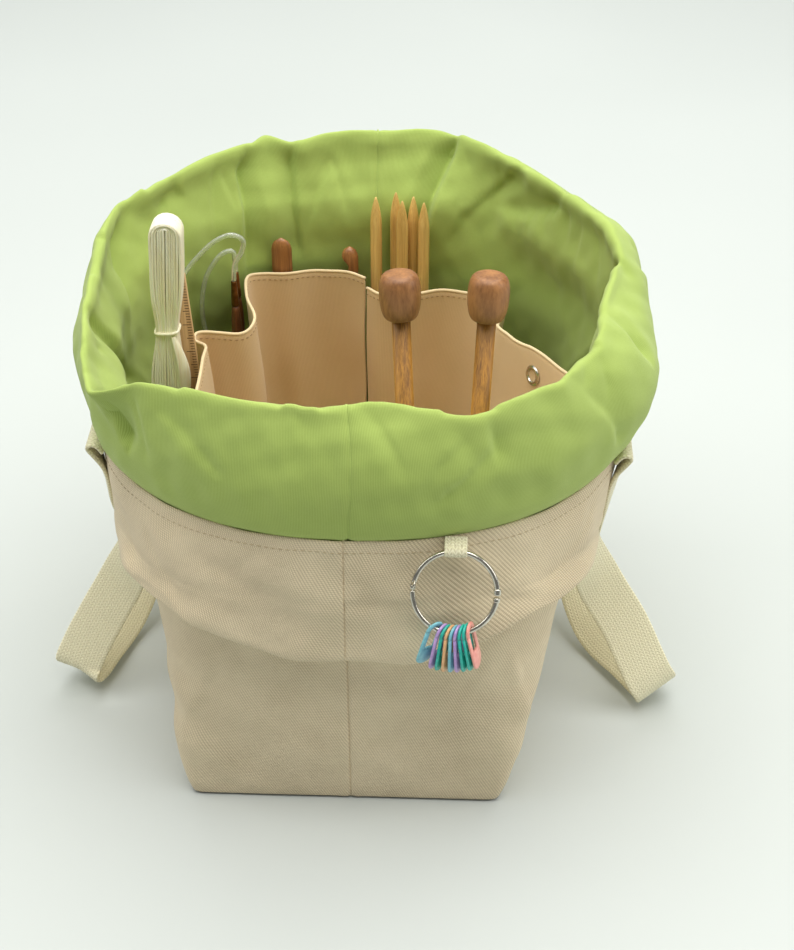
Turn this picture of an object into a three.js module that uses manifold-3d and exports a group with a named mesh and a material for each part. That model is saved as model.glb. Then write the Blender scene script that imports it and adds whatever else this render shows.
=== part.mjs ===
// A lined knitting bag that stands on its own base, with its contents.
// Millimetres, +Z up. The origin is the centre of the underside of the base,
// -Y is the front, where the marker ring hangs, and +X is the right-hand side.

import * as THREE from 'three';
import { mergeVertices } from 'three/addons/utils/BufferGeometryUtils.js';
import Module from 'manifold-3d';

const wasm = await Module();
wasm.setup();

// ---------------------------------------------------------------- driving dimensions

const GAP = 0.35; // clearance between neighbouring pieces
const CANVAS = 2.4; // canvas wall, with its turnings
const LINING = 1.8; // lining wall
const WALL_GAP = 1.4; // slack between the canvas and the lining
const SEAM_X = 3; // plane of the front and back centre seams
const AROUND = 44; // facets round the bag

const CANVAS_TOP = 170; // height of the canvas's sewn top edge
const BAND_BOTTOM = 103; // height of the fold under the slouched band
const RIM_FRONT_TO_BACK = 9; // rise of the rim from the middle to the back

// Plan of the bag at a few heights: centre, half width, half depth and squareness.
const SECTIONS = [
  { z: 0, cx: 0, cy: 0, a: 76, b: 105.5, n: 12 },
  { z: 25, cx: 1, cy: 0, a: 83, b: 107, n: 8 },
  { z: 50, cx: 3, cy: 0, a: 88, b: 108, n: 6 },
  { z: 75, cx: 5, cy: 0, a: 94, b: 109, n: 5 },
  { z: 100, cx: 5, cy: 0, a: 100, b: 110, n: 4 },
  { z: 138, cx: 5, cy: 0, a: 110, b: 111, n: 3 },
  { z: 170, cx: 6, cy: 0, a: 123, b: 112, n: 2.2 },
  { z: 205, cx: 8, cy: 3, a: 125, b: 110, n: 2.3 },
  { z: 245, cx: 10, cy: 7, a: 121, b: 108, n: 2.4 },
];

const POCKET_TOP = 185;
const POCKET_BOTTOM = 22; // seam that closes the pockets
const POCKET_CLOTH = 1.6;

const STRAP_WIDTH = 25;
const STRAP_THICK = 2.2;

const RING_RADIUS = 18.1; // to the middle of the wire
const RING_WIRE = 1.2;
const RING_LEAN = THREE.MathUtils.degToRad(25);
const RING_CENTRE = new THREE.Vector3(51, -123, 150.5);
const RING_HINGE_ANGLE = THREE.MathUtils.degToRad(172);
const RING_CLASP_ANGLE = THREE.MathUtils.degToRad(-4);

const MARKER_LENGTH = 21;
const MARKER_WIDTH = 7.4;
const MARKER_THICK = 1.1;
const MARKER_HEAD_THICK = 2.3;
const MARKER_HANG = 1.5; // wall of the marker above the ring wire
const MARKER_PITCH = 5.6; // degrees along the ring
const MARKER_FIRST = -22.5; // degrees from the bottom of the ring
const MARKER_COLOURS = [
  0x8fc4e0, 0xb9a7d6, 0x2fa9a0, 0xf0a860, 0x8fc4e0, 0xb9a7d6, 0x2fa9a0, 0x2fa9a0, 0xf08c80,
];

const DPN_RADIUS = 3;
const DPN_LENGTH = 200;
const DPN_TAPER = 16;
const DPN_PLACES = [
  [8, 93, 26],
  [18, 98.5, 26],
  [21.5, 91, 25],
  [27, 98, 24],
  [32.5, 91.5, 24],
];

const STRAIGHT_RADIUS = 4;
const KNOB_RADIUS = 8.8;
const KNOB_HEIGHT = 20;
const STRAIGHT_NEEDLES = [
  { tip: [36, -88, 24], top: [25, -62, 271] },
  { tip: [54, -88, 24], top: [62.5, -62, 271] },
];

const HOOK_RADIUS = 3.6;
const HOOKS = [
  { x: -41, y: 90.6, bottom: 25, top: 203, notch: false },
  { x: -6, y: 95.5, bottom: 25, top: 196, notch: true },
];

const TIP_RADIUS = 2.75;
const TIP_LENGTH = 127;
const FERRULE_LENGTH = 14;
const FERRULE_TOP = 196;
const TIP_PLACES = { a: [-62, 58], b: [-62, 67] };
const CABLE_RADIUS = 1.25;
// Route of the clear cable, from ferrule a over the pocket's edge, round and back to ferrule b.
const CABLE_ROUTE = [
  [-62, 58, 196.4], [-61, 58, 205], [-57, 58, 213], [-56, 58, 219], [-61, 58, 222],
  [-69, 58, 219], [-78, 57, 211], [-87, 54, 200], [-92.5, 47, 185], [-93.5, 41, 165],
  [-90, 37, 145], [-84, 38, 126], [-78, 46, 112], [-74, 57, 107], [-74, 68, 112],
  [-76, 73, 128], [-79, 72, 148], [-81, 69, 166], [-80, 66, 181], [-76, 65, 196],
  [-68, 66, 207], [-63, 67, 208], [-62, 67, 203], [-62, 67, 196.4],
];

const HANK_WIDTH = 15;
const HANK_DEPTH = 12;
const HANK_TOP = [-82, 1.5, 260.5];
const HANK_BOTTOM = [-91.2, 1.5, 136];
const HANK_TIE_HEIGHT = 66.5; // from the hank's lower end

const RULER_SIZE = [16, 1.8, 150];
const RULER_BOTTOM = [-75.9, 10, 77.5];
const RULER_TOP = [-83.9, 10, 227];

// ---------------------------------------------------------------- materials

const material = (color, roughness, metalness = 0) =>
  new THREE.MeshStandardMaterial({ color, roughness, metalness });
const LOOK = {
  canvas: () => material(0xbfa98a, 0.9),
  lining: () => material(0x91ac5a, 0.8),
  pocket: () => material(0xb09070, 0.9),
  webbing: () => material(0xd8d0b2, 0.9),
  nickel: () => material(0xc4c0b8, 0.25, 1),
  bamboo: () => material(0xc8a055, 0.5),
  knob: () => material(0xa56e4b, 0.5),
  hook: () => material(0x96552d, 0.45),
  darkWood: () => material(0x6b3a22, 0.4),
  cable: () => material(0xdfe3dc, 0.15),
  raffia: () => material(0xfaf5d2, 0.8),
  ruler: () => material(0xc9b48a, 0.6),
};

// ---------------------------------------------------------------- solids

const model = new THREE.Group();

function addPiece(name, geometry, look, matrix) {
  const mesh = new THREE.Mesh(geometry, look);
  mesh.name = name;
  if (matrix) {
    mesh.applyMatrix4(matrix);
  }
  model.add(mesh);
  return mesh;
}

function toSolid(geometry) {
  const bare = geometry.clone();
  bare.deleteAttribute('normal');
  bare.deleteAttribute('uv');
  const merged = mergeVertices(bare, 1e-4);
  return new wasm.Manifold(new wasm.Mesh({
    numProp: 3,
    vertProperties: new Float32Array(merged.attributes.position.array),
    triVerts: new Uint32Array(merged.index.array),
  }));
}

function toGeometry(solid) {
  const mesh = solid.getMesh();
  const geometry = new THREE.BufferGeometry();
  geometry.setAttribute('position', new THREE.BufferAttribute(new Float32Array(mesh.vertProperties), 3));
  geometry.setIndex(new THREE.BufferAttribute(new Uint32Array(mesh.triVerts), 1));
  return geometry;
}

// A lathe about Z from [radius, height] points.
function latheZ(points, segments = 16) {
  const outline = points.map(([radius, height]) => new THREE.Vector2(radius, height));
  return new THREE.LatheGeometry(outline, segments).rotateX(Math.PI / 2);
}

// A round rod along a curve.
function rodAlong(curve, radius, sides, steps) {
  const circle = new THREE.Shape();
  for (let i = 0; i < sides; i += 1) {
    const angle = (2 * Math.PI * i) / sides;
    const place = [radius * Math.cos(angle), radius * Math.sin(angle)];
    circle[i ? 'lineTo' : 'moveTo'](...place);
  }
  circle.closePath();
  return new THREE.ExtrudeGeometry(circle, { steps, extrudePath: curve, bevelEnabled: false });
}

// ---------------------------------------------------------------- the bag's plan

function sectionAt(z) {
  const height = THREE.MathUtils.clamp(z, 0, SECTIONS[SECTIONS.length - 1].z);
  const upper = SECTIONS.find((section, i) => i > 0 && section.z >= height);
  const lower = SECTIONS[SECTIONS.indexOf(upper) - 1];
  const t = (height - lower.z) / (upper.z - lower.z);
  const mix = (key) => THREE.MathUtils.lerp(lower[key], upper[key], t);
  return { cx: mix('cx'), cy: mix('cy'), a: mix('a'), b: mix('b'), n: mix('n') };
}

// A point of the wall seen from the plan's centre at an angle, moved out by an offset.
function wallPoint(angle, z, offset) {
  const { cx, cy, a, b, n } = sectionAt(z);
  const across = Math.abs(Math.cos(angle)) / (a + offset);
  const along = Math.abs(Math.sin(angle)) / (b + offset);
  const radius = (across ** n + along ** n) ** (-1 / n);
  const x = cx + radius * Math.cos(angle);
  const y = cy + radius * Math.sin(angle);
  const lift = Math.max(0, (z - CANVAS_TOP) / 75) * RIM_FRONT_TO_BACK * (y / 112);
  return new THREE.Vector3(x, y, z + lift);
}

// Adds shared heights to a profile, so that neighbouring walls stay parallel.
const SHARED_HEIGHTS = [...SECTIONS.map((section) => section.z), CANVAS + GAP, 12, 37, 119, 154];
function withSharedHeights(profile) {
  return profile.flatMap(([z, offset], i) => {
    const [nextZ, nextOffset] = profile[(i + 1) % profile.length];
    const between = SHARED_HEIGHTS
      .filter((height) => (height - z) * (height - nextZ) < -0.05)
      .sort((p, q) => (nextZ > z ? p - q : q - p));
    const added = between.map((height) => [
      height, THREE.MathUtils.lerp(offset, nextOffset, (height - z) / (nextZ - z)),
    ]);
    return [[z, offset], ...added];
  });
}

// A closed wall all round the bag, from a closed profile of [height, offset] points.
function wallRing(profile) {
  const hub = 100;
  const points = withSharedHeights(profile).map(([z, offset]) => [hub + offset, z]);
  const geometry = latheZ([...points, points[0]], AROUND);
  const position = geometry.attributes.position;
  for (let i = 0; i < position.count; i += 1) {
    const x = position.getX(i);
    const y = position.getY(i);
    const place = wallPoint(Math.atan2(y, x), position.getZ(i), Math.hypot(x, y) - hub);
    position.setXYZ(i, place.x, place.y, place.z);
  }
  return geometry;
}

// Half of a wall ring, on one side of the centre seams.
function halfOf(ring, side) {
  const reach = 400;
  const block = new THREE.BoxGeometry(reach, 2 * reach, 2 * reach);
  block.translate(SEAM_X + side * (reach / 2 + GAP / 2), 0, 0);
  return toGeometry(toSolid(ring).intersect(toSolid(block)));
}

function floorPanel(bottom, top, inset) {
  const outline = [];
  for (let i = 0; i < AROUND; i += 1) {
    const place = wallPoint((2 * Math.PI * i) / AROUND, 0, -inset);
    outline.push(new THREE.Vector2(place.x, place.y));
  }
  const panel = new THREE.ExtrudeGeometry(new THREE.Shape(outline), {
    depth: top - bottom, bevelEnabled: false,
  });
  return panel.translate(0, 0, bottom);
}

// Canvas outside: a plain body, and above it the slouched band that stands proud of it.
const canvasProfile = [
  [0, 0], [97, 0], [101, 2], [BAND_BOTTOM, 6], [110, 7.5], [138, 6.5], [158, 3.5], [CANVAS_TOP, 2],
  [CANVAS_TOP, 2 - CANVAS], [138, -CANVAS], [0, -CANVAS],
];
const canvasRing = wallRing(canvasProfile);
addPiece('canvas_left', halfOf(canvasRing, -1), LOOK.canvas());
addPiece('canvas_right', halfOf(canvasRing, 1), LOOK.canvas());
addPiece('canvas_base', floorPanel(0, CANVAS, CANVAS + GAP), LOOK.canvas());

// Lining: down inside the canvas, and above it the puffy collar rolled over at the rim.
const liningOut = CANVAS + WALL_GAP;
const liningIn = liningOut + LINING;
const liningProfile = [
  [CANVAS + GAP, -liningOut], [138, -liningOut], [CANVAS_TOP, 2 - liningOut],
  [CANVAS_TOP + GAP, 2 - liningOut], [CANVAS_TOP + GAP, 1], [185, 6], [207, 10], [227, 10],
  [239, 6], [244, -1], [241, -8], [228, -12], [205, -11], [CANVAS_TOP, -liningIn - 1],
  [138, -liningIn], [CANVAS + GAP, -liningIn],
];
const liningRing = wallRing(liningProfile);
addPiece('lining_left', halfOf(liningRing, -1), LOOK.lining());
addPiece('lining_right', halfOf(liningRing, 1), LOOK.lining());
const liningFloor = CANVAS + GAP;
addPiece('lining_base', floorPanel(liningFloor, liningFloor + LINING, liningIn + GAP), LOOK.lining());

// ---------------------------------------------------------------- pocket strip

// Top edge of the pocket strip, from the back seam to the front seam.
const POCKET_LEFT = [
  [2.5, 80], [-10, 89], [-22, 91.5], [-37, 86], [-50, 85.5], [-57, 81], [-57, 62], [-50, 40], [-54, 30],
  [-66, 27], [-77, 25], [-77, 19], [-71, 13], [-70.5, 0], [-70.5, -30], [-66, -62], [-48, -80],
  [-20, -82], [2.5, -82],
];
const POCKET_RIGHT = [
  [3.5, 79], [11, 72], [30, 76], [46, 81], [60, 78], [75, 60], [71, 42], [77, 32], [105, -10],
  [103, -32], [84, -56], [60, -60], [22, -60], [10, -70], [3.5, -82],
];

// Cloth standing along a curve. It leans in towards the base by a scale on X.
function standingCloth(points, baseScale) {
  const curve = new THREE.CatmullRomCurve3(points.map(([x, y]) => new THREE.Vector3(x, y, 0)));
  const middle = curve.getPoints(3 * points.length);
  const side = (sign) => middle.map((point, i) => {
    const before = middle[Math.max(i - 1, 0)];
    const after = middle[Math.min(i + 1, middle.length - 1)];
    const tangent = after.clone().sub(before).normalize();
    const half = (sign * POCKET_CLOTH) / 2;
    return new THREE.Vector2(point.x - tangent.y * half, point.y + tangent.x * half);
  });
  const shape = new THREE.Shape([...side(1), ...side(-1).reverse()]);
  const geometry = new THREE.ExtrudeGeometry(shape, {
    depth: POCKET_TOP - POCKET_BOTTOM, bevelEnabled: false,
  });
  const position = geometry.attributes.position;
  for (let i = 0; i < position.count; i += 1) {
    const rise = position.getZ(i) / (POCKET_TOP - POCKET_BOTTOM);
    const scale = THREE.MathUtils.lerp(baseScale, 1, rise);
    position.setX(i, SEAM_X + (position.getX(i) - SEAM_X) * scale);
  }
  return geometry.translate(0, 0, POCKET_BOTTOM);
}

// The eyelet sits in the flat stretch of the right-hand pocket, facing into the bag.
const EYELET_CENTRE = new THREE.Vector3(88.3, 14, 172);
const EYELET_NORMAL = new THREE.Vector3(-0.832, -0.554, 0.151).normalize();
const EYELET_HOLE = 3;
const EYELET_FLANGE = 5.2;
const eyeletFrame = new THREE.Matrix4().compose(
  EYELET_CENTRE,
  new THREE.Quaternion().setFromUnitVectors(new THREE.Vector3(0, 0, 1), EYELET_NORMAL),
  new THREE.Vector3(1, 1, 1),
);

const eyeletBore = new THREE.CylinderGeometry(EYELET_HOLE + 1, EYELET_HOLE + 1, 12, 20)
  .rotateX(Math.PI / 2).applyMatrix4(eyeletFrame);
const pocketRight = toSolid(standingCloth(POCKET_RIGHT, 0.66)).subtract(toSolid(eyeletBore));
addPiece('pocket_strip_left', standingCloth(POCKET_LEFT, 0.82), LOOK.pocket());
addPiece('pocket_strip_right', toGeometry(pocketRight), LOOK.pocket());

const flangeFace = POCKET_CLOTH / 2 + 0.5;
const eyeletFront = [
  [EYELET_HOLE, -1.2], [EYELET_HOLE + 0.6, -1.2], [EYELET_HOLE + 0.6, flangeFace],
  [EYELET_FLANGE, flangeFace], [EYELET_FLANGE - 0.5, flangeFace + 0.8],
  [EYELET_HOLE + 0.5, flangeFace + 1.1], [EYELET_HOLE, flangeFace + 0.7], [EYELET_HOLE, -1.2],
];
const eyeletBack = [
  [EYELET_HOLE, -flangeFace - 0.8], [EYELET_FLANGE, -flangeFace - 0.8], [EYELET_FLANGE, -flangeFace],
  [EYELET_HOLE + 1, -flangeFace], [EYELET_HOLE, -flangeFace - 0.3], [EYELET_HOLE, -flangeFace - 0.8],
];
addPiece('eyelet_front', latheZ(eyeletFront, 16), LOOK.nickel(), eyeletFrame);
addPiece('eyelet_washer', latheZ(eyeletBack, 16), LOOK.nickel(), eyeletFrame);

// ---------------------------------------------------------------- handles

// A strap: a long thin box bent along a curve, with its width along a given direction.
// Each station is [x, y, z, width direction x, y, z].
function strapGeometry(stations, width, thickness, steps) {
  const curve = (from) => new THREE.CatmullRomCurve3(
    stations.map((station) => new THREE.Vector3(...station.slice(from, from + 3))),
  );
  const middle = curve(0);
  const across = curve(3);
  const geometry = new THREE.BoxGeometry(width, thickness, 1, 1, 1, steps);
  const position = geometry.attributes.position;
  for (let i = 0; i < position.count; i += 1) {
    const t = THREE.MathUtils.clamp(position.getZ(i) + 0.5, 0, 1);
    const tangent = middle.getTangent(t);
    const side = across.getPoint(t);
    side.addScaledVector(tangent, -side.dot(tangent)).normalize();
    const normal = new THREE.Vector3().crossVectors(tangent, side);
    const place = middle.getPoint(t)
      .addScaledVector(side, position.getX(i))
      .addScaledVector(normal, position.getY(i));
    position.setXYZ(i, place.x, place.y, place.z);
  }
  return geometry;
}

// Where a strap lies on the wall: the offset leaves room for the band under it.
function onWall(y, z, offset, side) {
  const { cx, cy, a, b, n } = sectionAt(z);
  const reach = (1 - (Math.abs(y - cy) / (b + offset)) ** n) ** (1 / n);
  const x = cx + side * (a + offset) * reach;
  const turn = (side * (y - cy)) / (b + offset);
  return [x, y, z, -0.9 * turn, 1, 0];
}

// The end of a strap at the seam: straight across, so that both ends turn on one line.
const ROOT_Z = 172.5;
const ROOT_REACH = { 1: 130.2, '-1': 118 };
function atRoot(y, side) {
  return [side * ROOT_REACH[side], y, ROOT_Z, 0, 1, 0];
}

// Each strap leaves the seam at the front root, hangs down the wall, flops out on the table in
// a loop and goes back up to the rear root.
const HANDLE_STATIONS = {
  right: [
    atRoot(-41, 1), onWall(-40, 158, 6, 1), onWall(-35, 135, 10.5, 1), [119.5, -25, 108, 0.05, 1, 0.2],
    [119.5, -13, 82, 0.45, 0.75, 0.45], [127, -12, 62, 0.7, 0.4, 0.5], [142, -22, 46, 0.8, 0.3, 0.5],
    [155, -33, 30, 0.8, 0.3, 0.5], [161.5, -40, 17, 0.8, 0.25, 0.5], [157, -36, 11.5, 0.75, 0.3, 0.6],
    [144, -18, 12, 0.65, 0.35, 0.65], [130, 9, 13, 0.6, 0.4, 0.65], [121, 32, 30, 0.4, 0.7, 0.5],
    [117.5, 42, 68, 0.1, 1, 0.1], [116.5, 43, 103, 0, 1, 0], onWall(42, 135, 10.5, 1), onWall(41, 158, 6, 1),
    atRoot(41, 1),
  ],
  left: [
    atRoot(-41, -1), onWall(-40, 158, 6, -1), onWall(-35, 135, 10.5, -1), [-109, -24, 104, -0.15, 1, 0.2],
    [-113, -12, 76, -0.5, 0.7, 0.4], [-121, -12, 57, -0.8, 0.35, 0.35], [-131, -20, 41, -0.88, 0.25, 0.35],
    [-140, -29, 26, -0.88, 0.22, 0.35], [-144.5, -34, 15.5, -0.88, 0.2, 0.38],
    [-142, -29, 11, -0.82, 0.25, 0.45], [-136, -12, 11, -0.75, 0.3, 0.55], [-128, 12, 12, -0.65, 0.4, 0.6],
    [-120, 33, 28, -0.4, 0.7, 0.5], [-113, 42, 66, -0.1, 1, 0.1], [-110.5, 43, 103, 0, 1, 0],
    onWall(42, 135, 10.5, -1), onWall(41, 158, 6, -1), atRoot(41, -1),
  ],
};
const STRAP_STEPS = 64;
Object.entries(HANDLE_STATIONS).forEach(([side, stations]) => {
  const strap = strapGeometry(stations, STRAP_WIDTH, STRAP_THICK, STRAP_STEPS);
  addPiece(`handle_${side}`, strap, LOOK.webbing());
});

// ---------------------------------------------------------------- marker ring and its tab

// The ring's own frame: X to the right, Y up in its leaning plane, Z out towards the front.
const ringAxisX = new THREE.Vector3(1, 0, 0);
const ringAxisY = new THREE.Vector3(0, Math.sin(RING_LEAN), Math.cos(RING_LEAN));
const ringAxisZ = new THREE.Vector3().crossVectors(ringAxisX, ringAxisY);
const ringFrame = new THREE.Matrix4().makeBasis(ringAxisX, ringAxisY, ringAxisZ).setPosition(RING_CENTRE);

class ArcCurve extends THREE.Curve {
  constructor(radius, start, end) {
    super();
    this.radius = radius;
    this.start = start;
    this.end = end;
  }

  getPoint(t, target = new THREE.Vector3()) {
    const angle = THREE.MathUtils.lerp(this.start, this.end, t);
    return target.set(this.radius * Math.cos(angle), this.radius * Math.sin(angle), 0);
  }
}

const HINGE_EYE = 1.9;
const HINGE_HOLE = 0.95;
const HINGE_LEAF = 0.9;
const hingeSpot = new THREE.Vector3(
  RING_RADIUS * Math.cos(RING_HINGE_ANGLE), RING_RADIUS * Math.sin(RING_HINGE_ANGLE), 0,
);

// One half of the ring: a bent wire whose hinge end is flattened to an eye.
function ringHalf(start, end, side) {
  const wire = toSolid(rodAlong(new ArcCurve(RING_RADIUS, start, end), RING_WIRE, 8, 16));
  const leaf = (radius, depth, shift) => new THREE.CylinderGeometry(radius, radius, depth, 16)
    .rotateX(Math.PI / 2).translate(hingeSpot.x, hingeSpot.y, shift);
  const middle = side * (GAP / 2 + HINGE_LEAF / 2);
  const relief = leaf(HINGE_EYE + GAP, 4, -side * 2 + side * (GAP / 2));
  const eye = leaf(HINGE_EYE, HINGE_LEAF, middle);
  const hole = leaf(HINGE_HOLE, 8, 0);
  return wire.subtract(toSolid(relief)).add(toSolid(eye)).subtract(toSolid(hole));
}

const upperHalf = ringHalf(RING_CLASP_ANGLE, RING_HINGE_ANGLE - 0.02, 1);
const clasp = rodAlong(
  new ArcCurve(RING_RADIUS, RING_CLASP_ANGLE, RING_CLASP_ANGLE + 0.26), RING_WIRE + 0.7, 10, 5,
);
const lowerHalf = ringHalf(RING_HINGE_ANGLE + 0.02, 2 * Math.PI + RING_CLASP_ANGLE - 0.03, -1);
addPiece('ring_upper_half', toGeometry(upperHalf.add(toSolid(clasp))), LOOK.nickel(), ringFrame);
addPiece('ring_lower_half', toGeometry(lowerHalf), LOOK.nickel(), ringFrame);

const rivetHalf = GAP / 2 + HINGE_LEAF + GAP;
const rivet = latheZ([
  [0, -rivetHalf - 0.5], [1.4, -rivetHalf - 0.5], [1.4, -rivetHalf], [HINGE_HOLE - GAP, -rivetHalf],
  [HINGE_HOLE - GAP, rivetHalf], [1.4, rivetHalf], [1.4, rivetHalf + 0.5], [0, rivetHalf + 0.5],
], 12).translate(hingeSpot.x, hingeSpot.y, 0);
addPiece('ring_hinge_rivet', rivet, LOOK.nickel(), ringFrame);

// The tab: narrow webbing folded over the top of the ring and caught in the seam.
const TAB_WIDTH = 10;
const TAB_CLOTH = 1.1;
function tabOutline() {
  const inner = RING_WIRE + GAP + 0.8; // the wire curves away under the tab's width
  const outer = inner + TAB_CLOTH;
  const tail = 5.6;
  const shape = new THREE.Shape();
  shape.absarc(0, 0, outer, -Math.PI, 0, false);
  shape.lineTo(outer, 2);
  shape.lineTo(tail, 4);
  shape.lineTo(tail, 4 + 2 * TAB_CLOTH);
  shape.lineTo(-outer, 3.5);
  shape.closePath();
  const eye = new THREE.Path();
  eye.absarc(0, 0, inner, 0, 2 * Math.PI, true);
  shape.holes.push(eye);
  return shape;
}
const tabSide = new THREE.Matrix4().makeBasis(
  new THREE.Vector3(0, 1, 0), new THREE.Vector3(0, 0, 1), new THREE.Vector3(1, 0, 0),
);
const tabPlace = RING_CENTRE.clone().addScaledVector(ringAxisY, RING_RADIUS - 0.4);
const tab = new THREE.ExtrudeGeometry(tabOutline(), { depth: TAB_WIDTH, bevelEnabled: false, curveSegments: 10 })
  .translate(0, 0, -TAB_WIDTH / 2).applyMatrix4(tabSide);
tab.translate(tabPlace.x, tabPlace.y, tabPlace.z);
addPiece('ring_tab', tab, LOOK.webbing());

// ---------------------------------------------------------------- stitch markers

// A long loop in its own plane: Y runs down the marker from the ring wire.
function markerOutline(inset) {
  const half = MARKER_WIDTH / 2 - inset;
  const top = -(RING_WIRE + GAP + MARKER_HANG) + inset;
  const bottom = top + MARKER_LENGTH - 2 * inset;
  const shape = new THREE.Shape();
  shape.absarc(0, top + half, half, Math.PI, 0, false);
  shape.lineTo(half, bottom - half);
  shape.absarc(0, bottom - half, half, 0, Math.PI, false);
  shape.closePath();
  return shape;
}

function markerGeometry() {
  const loop = markerOutline(0);
  loop.holes.push(new THREE.Path(markerOutline(MARKER_HANG).getPoints(5)));
  const body = new THREE.ExtrudeGeometry(loop, { depth: MARKER_THICK, bevelEnabled: false, curveSegments: 5 })
    .translate(0, 0, -MARKER_THICK / 2);
  const headShape = new THREE.Shape();
  const bottom = MARKER_LENGTH - RING_WIRE - GAP - MARKER_HANG;
  headShape.absellipse(0, bottom - 4.4, MARKER_WIDTH / 2 - 0.3, 4, 0, 2 * Math.PI);
  const head = new THREE.ExtrudeGeometry(headShape, {
    depth: MARKER_HEAD_THICK, bevelEnabled: false, curveSegments: 6,
  }).translate(0, 0, -MARKER_HEAD_THICK / 2);
  return toGeometry(toSolid(body).add(toSolid(head)));
}

// Markers hang from the ring at an angle from its lowest point, each in the plane across the wire.
function markerFrame(degrees, twist) {
  const angle = THREE.MathUtils.degToRad(degrees);
  const wire = new THREE.Vector3(
    RING_RADIUS * Math.sin(angle), -RING_RADIUS * Math.cos(angle), 0,
  ).applyMatrix4(ringFrame);
  const along = ringAxisX.clone().multiplyScalar(Math.cos(angle)).addScaledVector(ringAxisY, Math.sin(angle));
  const down = new THREE.Vector3(0, 0, -1);
  down.addScaledVector(along, -down.dot(along)).normalize();
  const face = along.clone().applyAxisAngle(down, twist);
  const across = new THREE.Vector3().crossVectors(down, face);
  return new THREE.Matrix4().makeBasis(across, down, face).setPosition(wire);
}

MARKER_COLOURS.forEach((colour, i) => {
  const first = i === 0;
  const degrees = first ? MARKER_FIRST - 4.6 : MARKER_FIRST + i * MARKER_PITCH;
  const twist = first ? THREE.MathUtils.degToRad(30) : 0;
  addPiece(`stitch_marker_${i + 1}`, markerGeometry(), material(colour, 0.35), markerFrame(degrees, twist));
});

// ---------------------------------------------------------------- needles, hooks and the rest

// A needle about Z with a point at each end where a taper is given.
function needleGeometry(radius, length, lowTaper, highTaper) {
  const point = 0.4;
  const outline = [[0, 0]];
  if (lowTaper) {
    outline.push([point, 0.2], [radius * 0.75, lowTaper * 0.6], [radius, lowTaper]);
  } else {
    outline.push([radius, 0]);
  }
  if (highTaper) {
    outline.push([radius, length - highTaper], [radius * 0.75, length - highTaper * 0.6]);
    outline.push([point, length - 0.2]);
  } else {
    outline.push([radius, length]);
  }
  outline.push([0, length]);
  return latheZ(outline, 12);
}

DPN_PLACES.forEach(([x, y, z], i) => {
  const needle = needleGeometry(DPN_RADIUS, DPN_LENGTH, DPN_TAPER, DPN_TAPER).translate(x, y, z);
  addPiece(`double_pointed_needle_${i + 1}`, needle, LOOK.bamboo());
});

function frameAlong(from, to) {
  const start = new THREE.Vector3(...from);
  const direction = new THREE.Vector3(...to).sub(start).normalize();
  const turn = new THREE.Quaternion().setFromUnitVectors(new THREE.Vector3(0, 0, 1), direction);
  return new THREE.Matrix4().compose(start, turn, new THREE.Vector3(1, 1, 1));
}

STRAIGHT_NEEDLES.forEach(({ tip, top }, i) => {
  const length = new THREE.Vector3(...top).distanceTo(new THREE.Vector3(...tip));
  const frame = frameAlong(tip, top);
  const bore = 12;
  const seat = length - KNOB_HEIGHT;
  const shaft = needleGeometry(STRAIGHT_RADIUS, seat + bore - GAP, 18, 0);
  const knob = latheZ([
    [STRAIGHT_RADIUS + GAP, seat], [6.2, seat], [7.8, seat + 3.5], [KNOB_RADIUS, seat + 9],
    [8.3, seat + 14], [6.8, length - 2], [4.5, length], [0, length], [0, seat + bore],
    [STRAIGHT_RADIUS + GAP, seat + bore], [STRAIGHT_RADIUS + GAP, seat],
  ], 16);
  addPiece(`straight_needle_${i + 1}`, shaft, LOOK.bamboo(), frame);
  addPiece(`needle_knob_${i + 1}`, knob, LOOK.knob(), frame);
});

HOOKS.forEach(({ x, y, bottom, top, notch }, i) => {
  const length = top - bottom;
  let hook = toSolid(latheZ([
    [0, 0], [HOOK_RADIUS * 0.8, 0.5], [HOOK_RADIUS, 4], [HOOK_RADIUS, length - 5],
    [HOOK_RADIUS * 0.8, length - 1.5], [0, length],
  ], 14));
  if (notch) {
    const cut = new THREE.BoxGeometry(8, 8, 3).rotateX(-0.5).translate(0, -6, length - 9);
    hook = hook.subtract(toSolid(cut));
  }
  addPiece(`crochet_hook_${i + 1}`, toGeometry(hook).translate(x, y, bottom), LOOK.hook());
});

Object.entries(TIP_PLACES).forEach(([end, [x, y]]) => {
  const ferruleBottom = FERRULE_TOP - FERRULE_LENGTH;
  const tip = needleGeometry(TIP_RADIUS, TIP_LENGTH, 14, 0);
  const ferrule = latheZ([
    [0, GAP], [TIP_RADIUS, GAP], [2.4, FERRULE_LENGTH - 5], [1.7, FERRULE_LENGTH], [0, FERRULE_LENGTH],
  ], 12);
  addPiece(`circular_needle_tip_${end}`, tip.translate(x, y, ferruleBottom - TIP_LENGTH), LOOK.darkWood());
  addPiece(`circular_needle_ferrule_${end}`, ferrule.translate(x, y, ferruleBottom), LOOK.nickel());
});
const cableCurve = new THREE.CatmullRomCurve3(CABLE_ROUTE.map((point) => new THREE.Vector3(...point)));
addPiece('circular_needle_cable', rodAlong(cableCurve, CABLE_RADIUS, 8, 60), LOOK.cable());

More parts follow.
